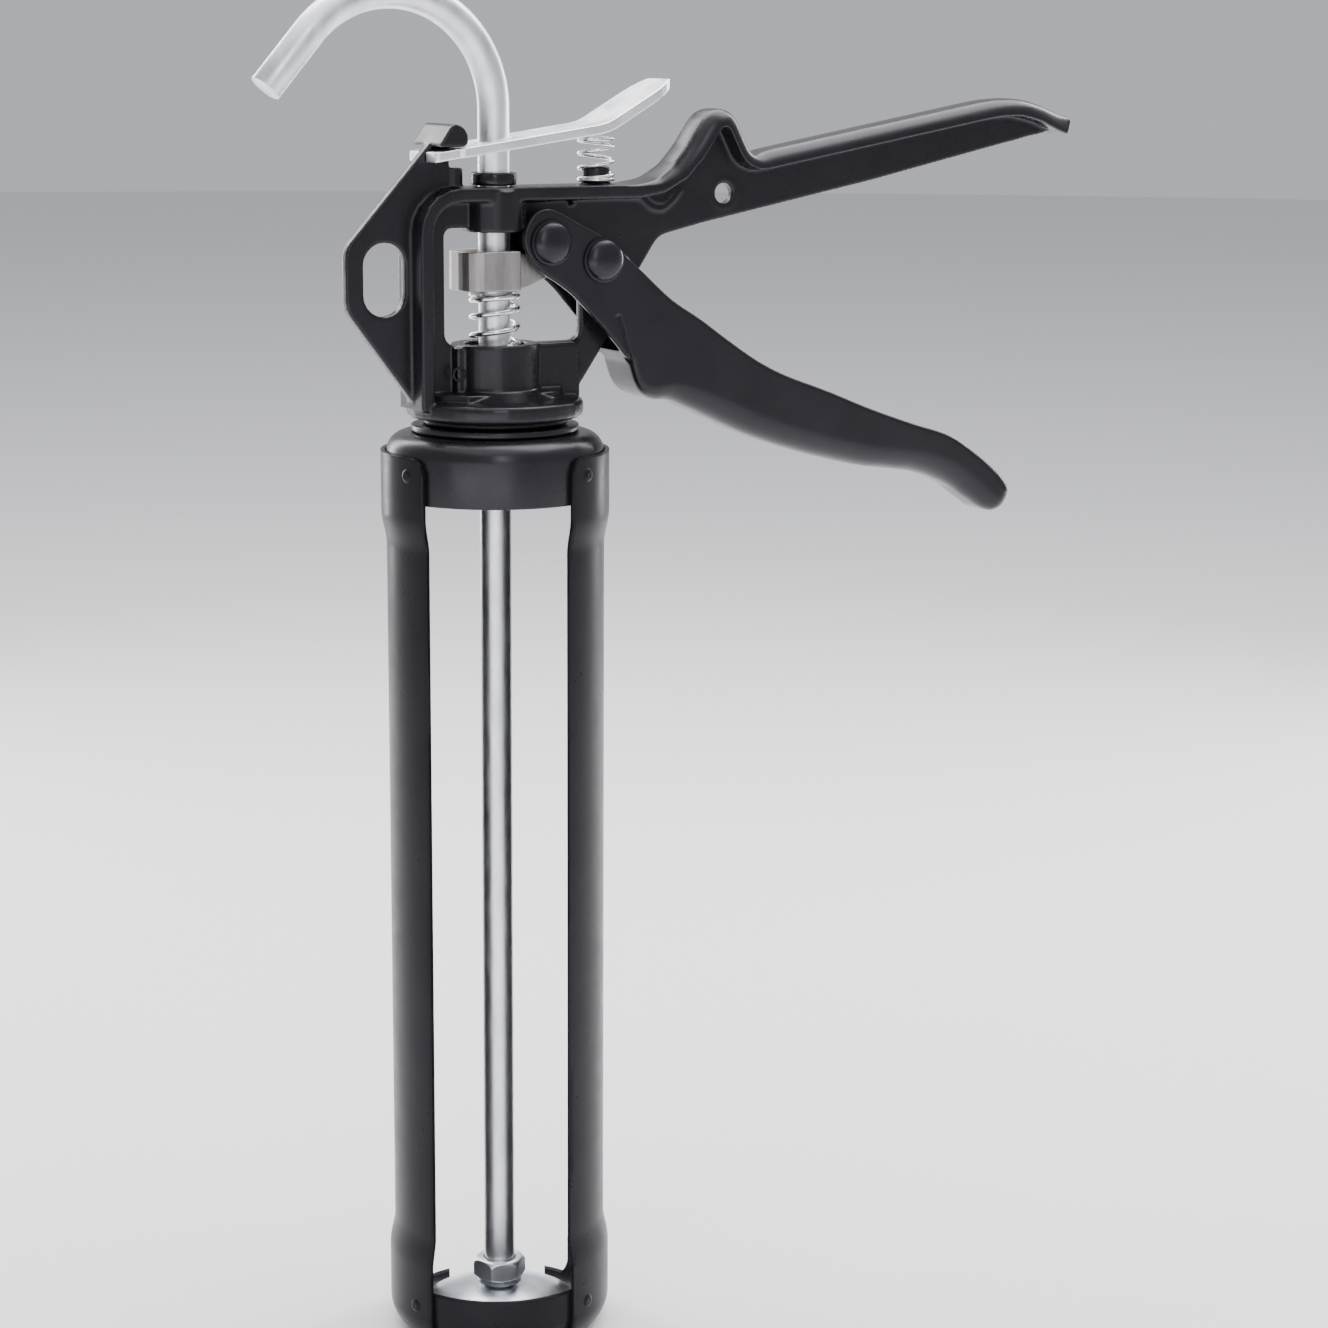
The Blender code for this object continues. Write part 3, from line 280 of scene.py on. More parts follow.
def turned(profile, segments=ROUND, matrix=None):
    """A closed solid of revolution about Z, from (radius, height) points."""
    mesh = bpy.data.meshes.new("profile")
    edges = [(i, i + 1) for i in range(len(profile) - 1)]
    if not (profile[0][0] == 0 and profile[-1][0] == 0):
        edges.append((len(profile) - 1, 0))
    mesh.from_pydata([(radius, 0, height) for radius, height in profile], edges, [])
    made = loose(mesh)
    screw = made.modifiers.new("turn", "SCREW")
    screw.steps = segments
    screw.render_steps = segments
    screw.use_merge_vertices = True
    screw.merge_threshold = 0.000005
    return evaluated_mesh(made, matrix)


def arc(centre, radius, start, end, steps):
    """Points of an arc from one angle in degrees to another."""
    angles = [math.radians(start + (end - start) * step / steps) for step in range(steps + 1)]
    return [(centre[0] + radius * math.cos(a), centre[1] + radius * math.sin(a)) for a in angles]


def soft_ring(inner, outer, bottom, top, edge, matrix=None, segments=ROUND):
    """A washer with its four edges rounded."""
    profile = [
        *arc((outer - edge, top - edge), edge, 90, 0, 4),
        *arc((outer - edge, bottom + edge), edge, 0, -90, 4),
        *arc((inner + edge, bottom + edge), edge, -90, -180, 4),
        *arc((inner + edge, top - edge), edge, 180, 90, 4),
    ]
    return turned(profile, segments, matrix)


def plate(outline, width, matrix):
    curve = bpy.data.curves.new("outline", "CURVE")
    curve.dimensions = "2D"
    curve.fill_mode = "BOTH"
    curve.extrude = width / 2
    spline = curve.splines.new("POLY")
    spline.points.add(len(outline) - 1)
    for place, point in zip(spline.points, outline):
        place.co = (point[0], point[1], 0, 1)
    spline.use_cyclic_u = True
    made = bpy.data.objects.new("outline", curve)
    bpy.context.scene.collection.objects.link(made)
    return evaluated_mesh(made, matrix)


def along_y(point, y=0.0):
    """Turns what was made about Z to lie along Y, at a point of the side view."""
    return Matrix.Translation((point[0], y, point[1])) @ Matrix.Rotation(math.pi / 2, 4, "X")


def side_plate(outline, width, y=0.0):
    """A plate with its outline in the side view, centred on y."""
    return plate(outline, width, along_y((0, 0), y))


def flat_plate(outline, bottom, top):
    return plate(outline, top - bottom, Matrix.Translation((0, 0, (top + bottom) / 2)))


def tube(points, radius, sides=8):
    """A round bar along points, with closed ends."""
    curve = bpy.data.curves.new("tube", "CURVE")
    curve.dimensions = "3D"
    curve.bevel_depth = radius
    curve.bevel_resolution = sides
    curve.use_fill_caps = True
    spline = curve.splines.new("POLY")
    spline.points.add(len(points) - 1)
    for place, point in zip(spline.points, points):
        place.co = (*point, 1)
    made = bpy.data.objects.new("tube", curve)
    bpy.context.scene.collection.objects.link(made)
    return evaluated_mesh(made)


def joined(meshes):
    """One mesh from several, still overlapping: cut and cast make them one skin."""
    bm = bmesh.new()
    for mesh in meshes:
        bm.from_mesh(mesh)
    out = bpy.data.meshes.new("joined")
    bm.to_mesh(out)
    bm.free()
    return out


def cut(mesh, cutter, operation="DIFFERENCE"):
    tool = loose(cutter, "cutter")
    made = loose(mesh)
    step = made.modifiers.new("cut", "BOOLEAN")
    step.operation = operation
    step.object = tool
    result = evaluated_mesh(made)
    bpy.data.objects.remove(tool, do_unlink=True)
    return result


def cast(mesh, voxel, passes):
    """Rounds every edge as a casting or a heavy paint coat does: remesh, then relax."""
    return modified(
        mesh,
        ("REMESH", {"mode": "VOXEL", "voxel_size": voxel, "adaptivity": 0.0}),
        ("SMOOTH", {"iterations": passes, "factor": RELAX}),
    )


def smooth_line(points):
    """A curve through points in the side view, with the same number of steps between each two."""
    line = []
    for index in range(len(points) - 1):
        before = Vector(points[max(index - 1, 0)])
        start = Vector(points[index])
        end = Vector(points[index + 1])
        after = Vector(points[min(index + 2, len(points) - 1)])
        for step in range(CURVE_STEPS):
            t = step / CURVE_STEPS
            slope = end - before
            bend = 2 * before - 5 * start + 4 * end - after
            twist = 3 * start - before - 3 * end + after
            line.append(0.5 * (2 * start + slope * t + bend * t ** 2 + twist * t ** 3))
    line.append(Vector(points[-1]))
    return line


FAR = 1.0
OUTSIDE_DEPTH = 0.0006
OUTSIDE_REACH = 0.0008


def mesh_points(mesh):
    flat = np.zeros(len(mesh.vertices) * 3, np.float32)
    mesh.vertices.foreach_get("co", flat)
    return flat.reshape(-1, 3).astype(float)


def move_points(mesh, co):
    mesh.vertices.foreach_set("co", co.astype(np.float32).ravel())
    mesh.update()


def round_edges(mesh, line, radii, half_width, inside):
    """Rounds the two long edges beside a line in the side view, to a radius given at each point.

    The material is on the line's left for inside = 1 and on its right for -1. A point a little
    outside the line still counts as on it, because the mesh isn't exactly where the line is.
    """
    co = mesh_points(mesh)
    best = np.full(len(co), FAR)
    depth = np.full(len(co), FAR)
    radius = np.zeros(len(co))
    inward = np.zeros((len(co), 2))
    spot = co[:, [0, 2]]
    for index in range(len(line) - 1):
        a = np.array(line[index][:2])
        d = np.array(line[index + 1][:2]) - a
        share = np.clip(((spot - a) @ d) / (d @ d), 0, 1)
        offset = spot - a - share[:, None] * d
        distance = np.linalg.norm(offset, axis=1)
        normal = np.array([-d[1], d[0]]) * inside / np.linalg.norm(d)
        closer = distance < best
        best[closer] = distance[closer]
        depth[closer] = (offset @ normal)[closer]
        inward[closer] = normal
        radius[closer] = (radii[index] + share * (radii[index + 1] - radii[index]))[closer]
    across = np.abs(co[:, 1]) - (half_width - radius)
    deep = radius - np.where(depth < 0, np.clip(-best, -OUTSIDE_DEPTH, 0), best)
    length = np.hypot(across, deep)
    moved = (depth > -OUTSIDE_REACH) & (across > 0) & (deep > 0) & (length > radius)
    keep = np.where(moved, radius / np.maximum(length, 1e-9), 1.0)
    shift = np.where(moved, deep * (1 - keep), 0)
    co[:, 0] += shift * inward[:, 0]
    co[:, 2] += shift * inward[:, 1]
    side = np.sign(co[:, 1]) * (half_width - radius + across * keep)
    co[:, 1] = np.where(moved, side, co[:, 1])
    move_points(mesh, co)


OFF_SEAM = 0.0001
ABOVE_ALL = 0.4


def top_line(mesh, start, end, step):
    """The top of a mesh in the side view, from one x to another."""
    bm = bmesh.new()
    bm.from_mesh(mesh)
    tree = BVHTree.FromBMesh(bm)
    line = []
    x = start
    while x <= end:
        hit = tree.ray_cast(Vector((x, OFF_SEAM, ABOVE_ALL)), Vector((0, 0, -1)))[0]
        if hit:
            line.append(Vector((x, hit.z)))
        x += step
    bm.free()
    return line


def eased(value, start, end):
    """0 up to start, 1 from end, and a smooth step between them."""
    share = min(max((value - start) / (end - start), 0), 1)
    return share * share * (3 - 2 * share)


def copy_of(name):
    return NODES[name].data.copy()


# ---------------------------------------------------------------- casting

HUMP_START = 0.040
HOLLOW_X = 0.0715
HOLLOW_WIDTH = 0.0045
HOLLOW_SHARE = 0.75
RIB_FACE = 0.0014
WAVE_RIB_RADIUS = 0.0006
INNER_RIB_RADIUS = 0.0005
GRIP_END = 0.176
TIP_START = 0.157
TIP_LENGTH = 0.0185
TIP_NARROWING = 0.40
GRIP_HALF = 0.0085
EDGE_HALF = 0.007
HANG_HOLE = (0.066, 0.2960)
EJECTOR_MARK = (-0.0120, 0.2531)
WAVE_RIB = [
    (0.0365, 0.2957), (0.0390, 0.2957), (0.0414, 0.2951), (0.0442, 0.2929),
    (0.0474, 0.2924), (0.0506, 0.2944), (0.0530, 0.2972),
]
INNER_RIB = [
    (0.0424, 0.2972), (0.0440, 0.2953), (0.0460, 0.2943), (0.0484, 0.2944), (0.0504, 0.2966),
]
BEAM_TAB = [(0.0198, 0.2962), (0.0204, 0.2943), (0.0218, 0.2943), (0.0224, 0.2962)]
SKIRT = [(-0.0215, 0.001), (-0.0125, 0.0105), (0.0112, 0.0105), (0.0200, 0.001)]


def rib(points, y, radius):
    """A raised line on the casting's web, through points of the side view."""
    return tube([Vector((point.x, y, point.y)) for point in smooth_line(points)], radius, 3)


def even_out(mesh, line):
    """Smooths the rim's outer line: a little over the hump, and more towards the grip's end."""
    co = mesh_points(mesh)
    places = np.array([[p.x, p.y] for p in line])
    near, far, grow_from, grow_over = 0.0011, 0.0040, 0.125, 0.02
    reach = near + (far - near) * np.clip((places[:, 0] - grow_from) / grow_over, 0, 1)
    weights = np.exp(-(((places[:, None, 0] - places[None, :, 0]) / reach[:, None]) ** 2))
    even = (weights @ places[:, 1]) / weights.sum(axis=1)
    height = np.interp(co[:, 0], places[:, 0], places[:, 1])
    rise = np.interp(co[:, 0], places[:, 0], even - places[:, 1], left=0)
    rim_depth, fade_depth = 0.0048, 0.008
    share = np.clip(1 + (rim_depth - height + co[:, 2]) / fade_depth, 0, 1)
    co[:, 2] += np.where(co[:, 0] > HUMP_START, rise * share, 0)
    move_points(mesh, co)
    return [Vector(place) for place in zip(places[:, 0], even)]


def crown(mesh, line):
    """Swells the middle of the hump's and grip's outer face, except in the hollow between them."""
    co = mesh_points(mesh)
    places = np.array([[p.x, p.y] for p in line])
    height = np.interp(co[:, 0], places[:, 0], places[:, 1])
    slope = np.interp(co[:, 0], places[:, 0], np.gradient(places[:, 1], places[:, 0]))
    depth = (height - co[:, 2]) / np.hypot(1, slope)
    swell_height, swell_depth, lead_in = 0.0012, 0.0036, 0.014
    x = np.clip((co[:, 0] - HUMP_START) / lead_in, 0, 1)
    share = np.clip(1 - depth / swell_depth, 0, 1) * (x * x * (3 - 2 * x))
    hollow = 1 - HOLLOW_SHARE * np.exp(-(((co[:, 0] - HOLLOW_X) / HOLLOW_WIDTH) ** 2))
    swell = swell_height * share * hollow * np.clip(1 - (co[:, 1] / GRIP_HALF) ** 2, 0, 1)
    inside = (co[:, 0] > HUMP_START) & (co[:, 0] < GRIP_END)
    co[:, 0] -= np.where(inside, swell * slope / np.hypot(1, slope), 0)
    co[:, 2] += np.where(inside, swell / np.hypot(1, slope), 0)
    move_points(mesh, co)


def casting():
    """The casting with its small marks and ribs, every edge rounded."""
    extras = [copy_of("handle_casting")]
    for side in (-1, 1):
        extras.append(rib(WAVE_RIB, side * RIB_FACE, WAVE_RIB_RADIUS))
        extras.append(rib(INNER_RIB, side * RIB_FACE, INNER_RIB_RADIUS))
        extras.append(side_plate(BEAM_TAB, 0.0020, side * 0.0022))
        skirt = [(x, side * y) for x, y in SKIRT]
        extras.append(flat_plate(skirt, FLANGE_TOP - 0.0012, FLANGE_TOP + 0.0020))
        extras.append(soft_ring(0.0026, 0.0044, -0.0016, 0.0016, 0.0003, along_y(HANG_HOLE), 40))
    mesh = cast(joined(extras), BIG_VOXEL, 6)
    line = even_out(mesh, top_line(mesh, 0.0345, 0.1752, 0.0006))
    radii = [0.0009 + 0.0028 * eased(p.x, 0.036, 0.052) for p in line]
    round_edges(mesh, line, radii, EDGE_HALF, -1)
    crown(mesh, line)
    co = mesh_points(mesh)
    share = np.clip((co[:, 0] - TIP_START) / TIP_LENGTH, 0, 1)
    co[:, 1] *= 1 - TIP_NARROWING * share ** 2
    move_points(mesh, co)
    mesh = modified(mesh, ("SMOOTH", {"iterations": 4, "factor": RELAX}))
    made = add_object(mesh, "casting", BLACK)
    made.data.shade_smooth()
    fix(made, "handle", "black_paint", "handle_casting")
    bead = soft_ring(0.0013, 0.0019, -0.0004, 0.0003, 0.0001, along_y(EJECTOR_MARK, -0.0041), 32)
    mark = add_object(bead, "ejector_mark", BLACK)
    smooth(mark)
    fix(mark, "handle", "black_paint")


def guide_ring():
    """The rounded ring round the rod, and the washer between the casting's foot and the collar."""
    inner = ROD_RADIUS + 0.0004
    bottom = BEAM_TOP + GAP
    ring = soft_ring(inner, inner + 0.0013, bottom, bottom + 0.0032, 0.0006)
    made = add_object(ring, "guide_ring", GLOSS)
    smooth(made)
    fix(made, "handle", "black_gloss", "rod_guide_ring")
    flat_ring = soft_ring(0.0123, 0.0212, COLLAR_TOP + GAP, COLLAR_TOP + 0.0019, 0.0004)
    washer = add_object(flat_ring, "swivel_washer_fine", BLACK)
    smooth(washer)
    fix(washer, "handle", "black_paint", "swivel_washer")


# ---------------------------------------------------------------- barrel

COLLAR_HEIGHT = 0.0163
CAP_CORNER = 0.008
CAP_WALL = 0.0015
CAP_HEIGHT = 0.015
STRAP_THICKNESS = 0.0011
STRAP_HALF_ANGLE = math.radians(45)
STRAP_ANGLES = (math.radians(-5), math.radians(185))
STRAP_BOTTOM = 0.0024
STRAP_TOP = COLLAR_TOP - 0.0045
STRAP_END_RADIUS = BARREL_RADIUS + GAP
WAIST_RADIUS = BARREL_RADIUS - 0.001
STRAP_CORNER = 0.004
JOGGLE = 0.009
LOWER_JOGGLE = 0.0215
UPPER_JOGGLE = COLLAR_TOP - COLLAR_HEIGHT - 0.0122
STRAIGHT_START = 0.034
STRAIGHT_END = UPPER_JOGGLE - 0.004
RIVET_ANGLE = math.radians(34)
RIVET_DROP = 0.009
NOSE_RIVET_HEIGHT = 0.011
NOZZLE_SLOT_HALF = 0.013
CAP_OPENING_ANGLE = math.radians(40)
OUTSIDE = 0.04


def collar():
    """The cup that joins the straps to the handle."""
    corner = 0.005
    wall = 0.0015
    hole = 0.0124
    inner = BARREL_RADIUS - wall
    bottom = COLLAR_TOP - COLLAR_HEIGHT
    profile = [
        *arc((hole + 0.0004, COLLAR_TOP - 0.0004), 0.0004, 180, 90, 3),
        *arc((BARREL_RADIUS - corner, COLLAR_TOP - corner), corner, 90, 0, 12),
        *arc((BARREL_RADIUS - 0.0005, bottom + 0.0005), 0.0005, 0, -90, 4),
        *arc((inner + 0.0004, bottom + 0.0004), 0.0004, -90, -180, 3),
        *arc((BARREL_RADIUS - corner, COLLAR_TOP - corner), corner - wall, 0, 90, 8),
        (hole, COLLAR_TOP - wall),
    ]
    made = add_object(turned(profile), "collar_cup", BLACK)
    smooth(made)
    fix(made, "barrel", "black_paint", "barrel_collar")


def cap():
    """The nose cup, with its nozzle slot and the opening in the wall over it."""
    middle = (BARREL_RADIUS - CAP_CORNER, CAP_CORNER)
    lip = CAP_WALL / 2
    profile = [
        (0, CAP_WALL),
        *arc(middle, CAP_CORNER - CAP_WALL, -90, 0, 12),
        *arc((BARREL_RADIUS - lip, CAP_HEIGHT - lip), lip, 180, 0, 8),
        *arc(middle, CAP_CORNER, 0, -90, 14),
        (0, 0),
    ]
    mesh = turned(profile, 160)
    half = NOZZLE_SLOT_HALF
    angles = [math.pi + math.pi * k / 24 for k in range(25)]
    slot = [(half * math.cos(a), half * math.sin(a)) for a in angles]
    slot += [(half, OUTSIDE), (-half, OUTSIDE)]
    turn = Matrix.Rotation(BARREL_TURN, 4, "Z")
    cutter = flat_plate(slot, -0.004, 0.02)
    cutter.transform(turn)
    mesh = cut(mesh, cutter)
    near = BARREL_RADIUS * math.sin(CAP_OPENING_ANGLE)
    opening = [(-OUTSIDE, near), (OUTSIDE, near), (OUTSIDE, OUTSIDE), (-OUTSIDE, OUTSIDE)]
    low = flat_plate(opening, 0.004, 0.02)
    low.transform(turn)
    mesh = cut(mesh, low)
    mesh = modified(mesh, bevel(0.00035, 3, 50))
    made = add_object(mesh, "nose_cup", RAIL_PAINT)
    smooth(made, 35)
    fix(made, "barrel", "black_rail", "nose_cap")


def strap_radius(height):
    """A strap's inner radius at a height: round the cap's corner, and drawn in between joggles."""
    if height < CAP_CORNER:
        drop = CAP_CORNER - height
        return STRAP_END_RADIUS - CAP_CORNER + math.sqrt(CAP_CORNER ** 2 - drop ** 2)
    lower = min(max((height - LOWER_JOGGLE) / JOGGLE, 0), 1)
    upper = min(max((height - UPPER_JOGGLE) / JOGGLE, 0), 1)
    inward = (1 - math.cos(math.pi * lower)) / 2 - (1 - math.cos(math.pi * upper)) / 2
    return STRAP_END_RADIUS - (STRAP_END_RADIUS - WAIST_RADIUS) * inward


def strap(name, angle, node_name):
    """A strap as a fine bent sheet with rounded edges and soft corners at the top."""
    heights = [STRAP_BOTTOM + (CAP_CORNER - STRAP_BOTTOM) * k / 8 for k in range(9)]
    heights += [0.011, 0.015, 0.019]
    heights += [LOWER_JOGGLE + JOGGLE * k / 14 for k in range(15)]
    heights += [STRAIGHT_START + (STRAIGHT_END - STRAIGHT_START) * k / 24 for k in range(25)]
    heights += [UPPER_JOGGLE + JOGGLE * k / 14 for k in range(15)]
    heights += [STRAP_TOP - STRAP_CORNER * (1 - k / 8) for k in range(9)]
    heights = sorted(set(heights))
    columns = 36
    bm = bmesh.new()
    bmesh.ops.create_grid(bm, x_segments=columns, y_segments=len(heights) - 1, size=0.5)
    for vert in bm.verts:
        across = vert.co.x * 2
        height = heights[round((vert.co.y + 0.5) * (len(heights) - 1))]
        edge = (1 - abs(across)) * STRAP_HALF_ANGLE * STRAP_END_RADIUS
        if height > STRAP_TOP - STRAP_CORNER and edge < STRAP_CORNER:
            drop = STRAP_CORNER - math.sqrt(STRAP_CORNER ** 2 - (STRAP_CORNER - edge) ** 2)
            height -= drop * (height - STRAP_TOP + STRAP_CORNER) / STRAP_CORNER * 0.97
        radius = strap_radius(height)
        turn = across * STRAP_HALF_ANGLE
        vert.co = (radius * math.cos(turn), radius * math.sin(turn), height)
    bmesh.ops.transform(bm, matrix=Matrix.Rotation(BARREL_TURN + angle, 4, "Z"), verts=bm.verts)
    mesh = bpy.data.meshes.new(name)
    bm.to_mesh(mesh)
    bm.free()
    mesh = modified(
        mesh,
        ("SOLIDIFY", {"thickness": STRAP_THICKNESS, "offset": 1.0, "use_even_offset": True}),
        bevel(0.0003, 3, 60),
    )
    made = add_object(mesh, name, RAIL_PAINT)
    smooth(made, 50)
    fix(made, "barrel", "black_rail", node_name)


def rivet_places(height):
    for strap_angle in STRAP_ANGLES:
        for side in (-1, 1):
            turn = Matrix.Rotation(BARREL_TURN + strap_angle + side * RIVET_ANGLE, 4, "Z")
            yield turn @ Matrix.Translation((0, 0, height)) @ Matrix.Rotation(math.pi / 2, 4, "Y")


def rivets(prefix, height):
    """Low round heads, each with a faint dimple."""
    head = STRAP_END_RADIUS + STRAP_THICKNESS
    profile = [
        (0, head + 0.00042),
        (0.0003, head + 0.00044),
        (0.0006, head + 0.00050),
        (0.0009, head + 0.00048),
        (0.0012, head + 0.00038),
        (0.0015, head + 0.00020),
        (0.0017, head + 0.00004),
        (0.0018, head - 0.0001),
        (0.0012, head - 0.0002),
        (0.0012, head - 0.0028),
        (0, head - 0.0028),
    ]
    for number, place in enumerate(rivet_places(height), start=1):
        made = add_object(turned(profile, 40, place), f"{prefix}_head_{number}", RAIL_PAINT)
        smooth(made, 60)
        fix(made, "barrel", "black_paint", f"{prefix}_{number}")


# ---------------------------------------------------------------- trigger

# The trigger's outline in the side view, in order round it
FINGER_SIDE = [
    (0.0352, 0.2538), (0.0368, 0.2490), (0.0392, 0.2458), (0.0432, 0.2440), (0.0486, 0.2433),
    (0.0560, 0.2403), (0.0646, 0.2364), (0.0733, 0.2326), (0.0821, 0.2295), (0.0910, 0.2268),
    (0.1000, 0.2244), (0.1091, 0.2223), (0.1183, 0.2209), (0.1253, 0.2198), (0.1323, 0.2177),
    (0.1383, 0.2148), (0.1443, 0.2108),
]
TIP_SIDE = [
    (0.1486, 0.2081), (0.1516, 0.2074), (0.1546, 0.2088), (0.1562, 0.2120), (0.1556, 0.2148),
    (0.1512, 0.2190), (0.1439, 0.2242),
]
GRIP_SIDE = [
    (0.1343, 0.2298), (0.1226, 0.2336), (0.1088, 0.2384), (0.0952, 0.2438), (0.0818, 0.2487),
    (0.0730, 0.2530), (0.0644, 0.2585), (0.0558, 0.2644), (0.0473, 0.2697), (0.0395, 0.2763),
]
CHEEKS = [
    (0.0360, 0.2794), (0.0330, 0.2826), (0.0290, 0.2852), (0.0200, 0.2898), (0.0146, 0.2926),
    (0.0110, 0.2936), (0.0078, 0.2926), (0.0055, 0.2898), (0.0045, 0.2866), (0.0052, 0.2832),
    (0.0072, 0.2800), (0.0104, 0.2772), (0.0145, 0.2746), (0.0190, 0.2712), (0.0262, 0.2640),
    (0.0318, 0.2578),
]
CHEEK_RELIEF = [
    (0.0100, 0.2790), (0.0150, 0.2775), (0.0208, 0.2722), (0.0263, 0.2660), (0.0330, 0.2585),
    (0.0310, 0.2470), (0.0000, 0.2600),
]
BACK_WALL = 0.0022
CHEEK_WALL = 0.0018
SOLID_FROM = 0.138
PIN_HOLE_RADIUS = 0.0031


def trigger_radii(sides, finger_points):
    """The edge's radius: small at the lip, large along the fingers, and small on the grip side."""
    turn = finger_points + 3 * CURVE_STEPS
    radii = []
    for index, point in enumerate(sides):
        if index < turn:
            at_lip = 0.0018 + 0.0028 * eased(index, 4, 26)
            along = 0.0018 * eased(point.x, 0.036, 0.066)
            at_tip = 0.0022 * eased(index, finger_points - 18, turn)
            radii.append(at_lip + along - at_tip)
        else:
            radii.append(0.0042 - 0.0034 * eased(index, turn, turn + 30))
    return radii


def trigger():
    """The pressed channel: two cheeks, a back along the finger side and a solid round tip."""
    finger = smooth_line(FINGER_SIDE)
    sides = smooth_line(FINGER_SIDE + TIP_SIDE + GRIP_SIDE)
    mesh = side_plate(sides + smooth_line(CHEEKS), 2 * TRIGGER_HALF)
    inner = []
    for first, second in zip(finger, finger[1:]):
        along = (second - first).normalized()
        place = first + Vector((-along.y, along.x)) * BACK_WALL
        if place.x < SOLID_FROM:
            inner.append(place)
    last = inner[-1]
    opening = [
        (0.0310, 0.2580),
        *inner,
        (last.x + 0.003, last.y + 0.006),
        (last.x, 0.262),
        (0.060, 0.300),
        (-0.010, 0.310),
        (-0.010, 0.262),
    ]
    mesh = cut(mesh, side_plate(opening, 2 * (TRIGGER_HALF - CHEEK_WALL)))
    mesh = cut(mesh, side_plate(CHEEK_RELIEF, 0.0060, TRIGGER_HALF + 0.0013))
    bore = [(0, 0.02), (PIN_HOLE_RADIUS, 0.02), (PIN_HOLE_RADIUS, -0.02), (0, -0.02)]
    holes = [turned(bore, 32, along_y(point)) for point in (PIVOT, DRIVE_PIN)]
    mesh = cut(mesh, joined(holes))
    mesh = cast(mesh, BIG_VOXEL, 3)
    round_edges(mesh, sides, trigger_radii(sides, len(finger)), TRIGGER_HALF, 1)
    mesh = modified(mesh, ("SMOOTH", {"iterations": 6, "factor": RELAX}))
    made = add_object(mesh, "trigger_channel", TRIGGER_PAINT)
    made.data.shade_smooth()
    fix(made, "trigger", "black_trigger", "trigger")


def pin(name, point, node_name):
    """A rivet with a high round head outside each cheek, with a flat rim under the dome."""
    cheek = TRIGGER_HALF + GAP / 2
    dome_radius = 0.0052
    dome_height = 0.0023
    angles = [math.radians(angle) for angle in range(0, 91, 9)]
    half = [
        *[(dome_radius * math.sin(a), cheek + 0.0006 + dome_height * math.cos(a)) for a in angles],
        (0.0057, cheek + 0.0005),
        (0.0058, cheek + 0.0002),
        (0.0056, cheek),
        (0.0030, cheek),
    ]
    half[0] = (0, half[0][1])
    other = [(radius, -height) for radius, height in reversed(half)]
    made = add_object(turned(half + other, 72, along_y(point)), name, BLACK)
    smooth(made, 50)
    fix(made, "trigger", "black_paint", node_name)


# ---------------------------------------------------------------- plate, lever and springs

def drive_plate():
    """The grey grip plate round the rod, its edges softened."""
    mesh = cast(copy_of("drive_plate"), 0.00022, 3)
    made = add_object(mesh, "grip_plate", GREY_STEEL)
    made.data.shade_smooth()
    fix(made, "drive", "grey_steel", "drive_plate")


def spring_line(x, bottom, top, outer_radius, wire, turns, start, close):
    """A spring's centre line: closed turns at each end, and even turns between them."""
    steps = math.ceil(turns * 48)
    radius = outer_radius - wire / 2
    low = bottom + wire / 2
    rise = top - bottom - wire
    points = []
    for step in range(steps + 1):
        share = step / steps
        angle = start + 2 * math.pi * turns * share
        flat = close / turns
        inner = min(max((share - flat) / (1 - 2 * flat), 0), 1)
        between = inner * inner * (3 - 2 * inner) * 0.35 + inner * 0.65
        foot = 0.04 * min(share / flat, 1)
        head = 0.04 * max((share - 1 + flat) / flat, 0)
        height = low + rise * (foot + 0.92 * between + head)
        points.append((x + radius * math.cos(angle), radius * math.sin(angle), height))
    return points


def squeeze(made, node_name):
    """Shades a spring smooth, bakes its place into its mesh and hides the CAD node that it stands
    for.
    """
    smooth(made, 60)
    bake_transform(made)
    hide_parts(node_name)


def springs():
    """The drive spring under the grip plate and the release spring under the lever."""
    bottom = SPRING_SEAT + 2 * GAP
    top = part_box("drive_plate")[0].z - GAP
    wire = 0.0015
    line = spring_line(0, bottom, top, 0.0066, wire, 5.0, math.radians(200), 0.8)
    made = add_object(tube(line, wire / 2, 6), "drive_coil", WIRE_METAL)
    squeeze(made, "drive_spring")

    x = RELEASE_SPRING_X
    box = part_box("release_spring")
    bottom = box[0].z + GAP
    top = box[1].z
    wire = 0.001
    line = spring_line(x, bottom, top, 0.0049, wire, 5.2, math.radians(160), 1.1)
    made = add_object(tube(line, wire / 2, 5), "release_coil", WIRE_METAL)
    squeeze(made, "release_spring")


def lever():
    """The thumb lever, its edges softened."""
    mesh = cast(copy_of("release_lever"), 0.00024, 3)
    made = add_object(mesh, "lever_blade", ZINC)
    made.data.shade_smooth()
    fix(made, "release", "zinc_plate", "release_lever")


# ---------------------------------------------------------------- rod and plunger

def rod():
    """The straight rod, its hook bent towards -X, and the hook's short straight end."""
    start = COLLAR_TOP + 0.080
    radius = 0.028
    bend = math.radians(139)
    tail_length = 0.0175
    points = [Vector((0, 0, 0)), Vector((0, 0, 0.0006))]
    points += [Vector((0, 0, start * k / 10)) for k in range(1, 11)]
    for step in range(1, 49):
        turn = bend * step / 48
        x = -radius + radius * math.cos(turn)
        points.append(Vector((x, 0, start + radius * math.sin(turn))))
    tail = Vector((-math.sin(bend), 0, math.cos(bend)))
    points.append(points[-1] + tail * tail_length)
    mesh = modified(
        tube(points, ROD_RADIUS, 14),
        bevel(0.0004, 2, 60),
    )
    made = add_object(mesh, "hooked_rod", ROD_METAL)
    smooth(made, 50)
    fix(made, "rod", "bright_rod", "push_rod")


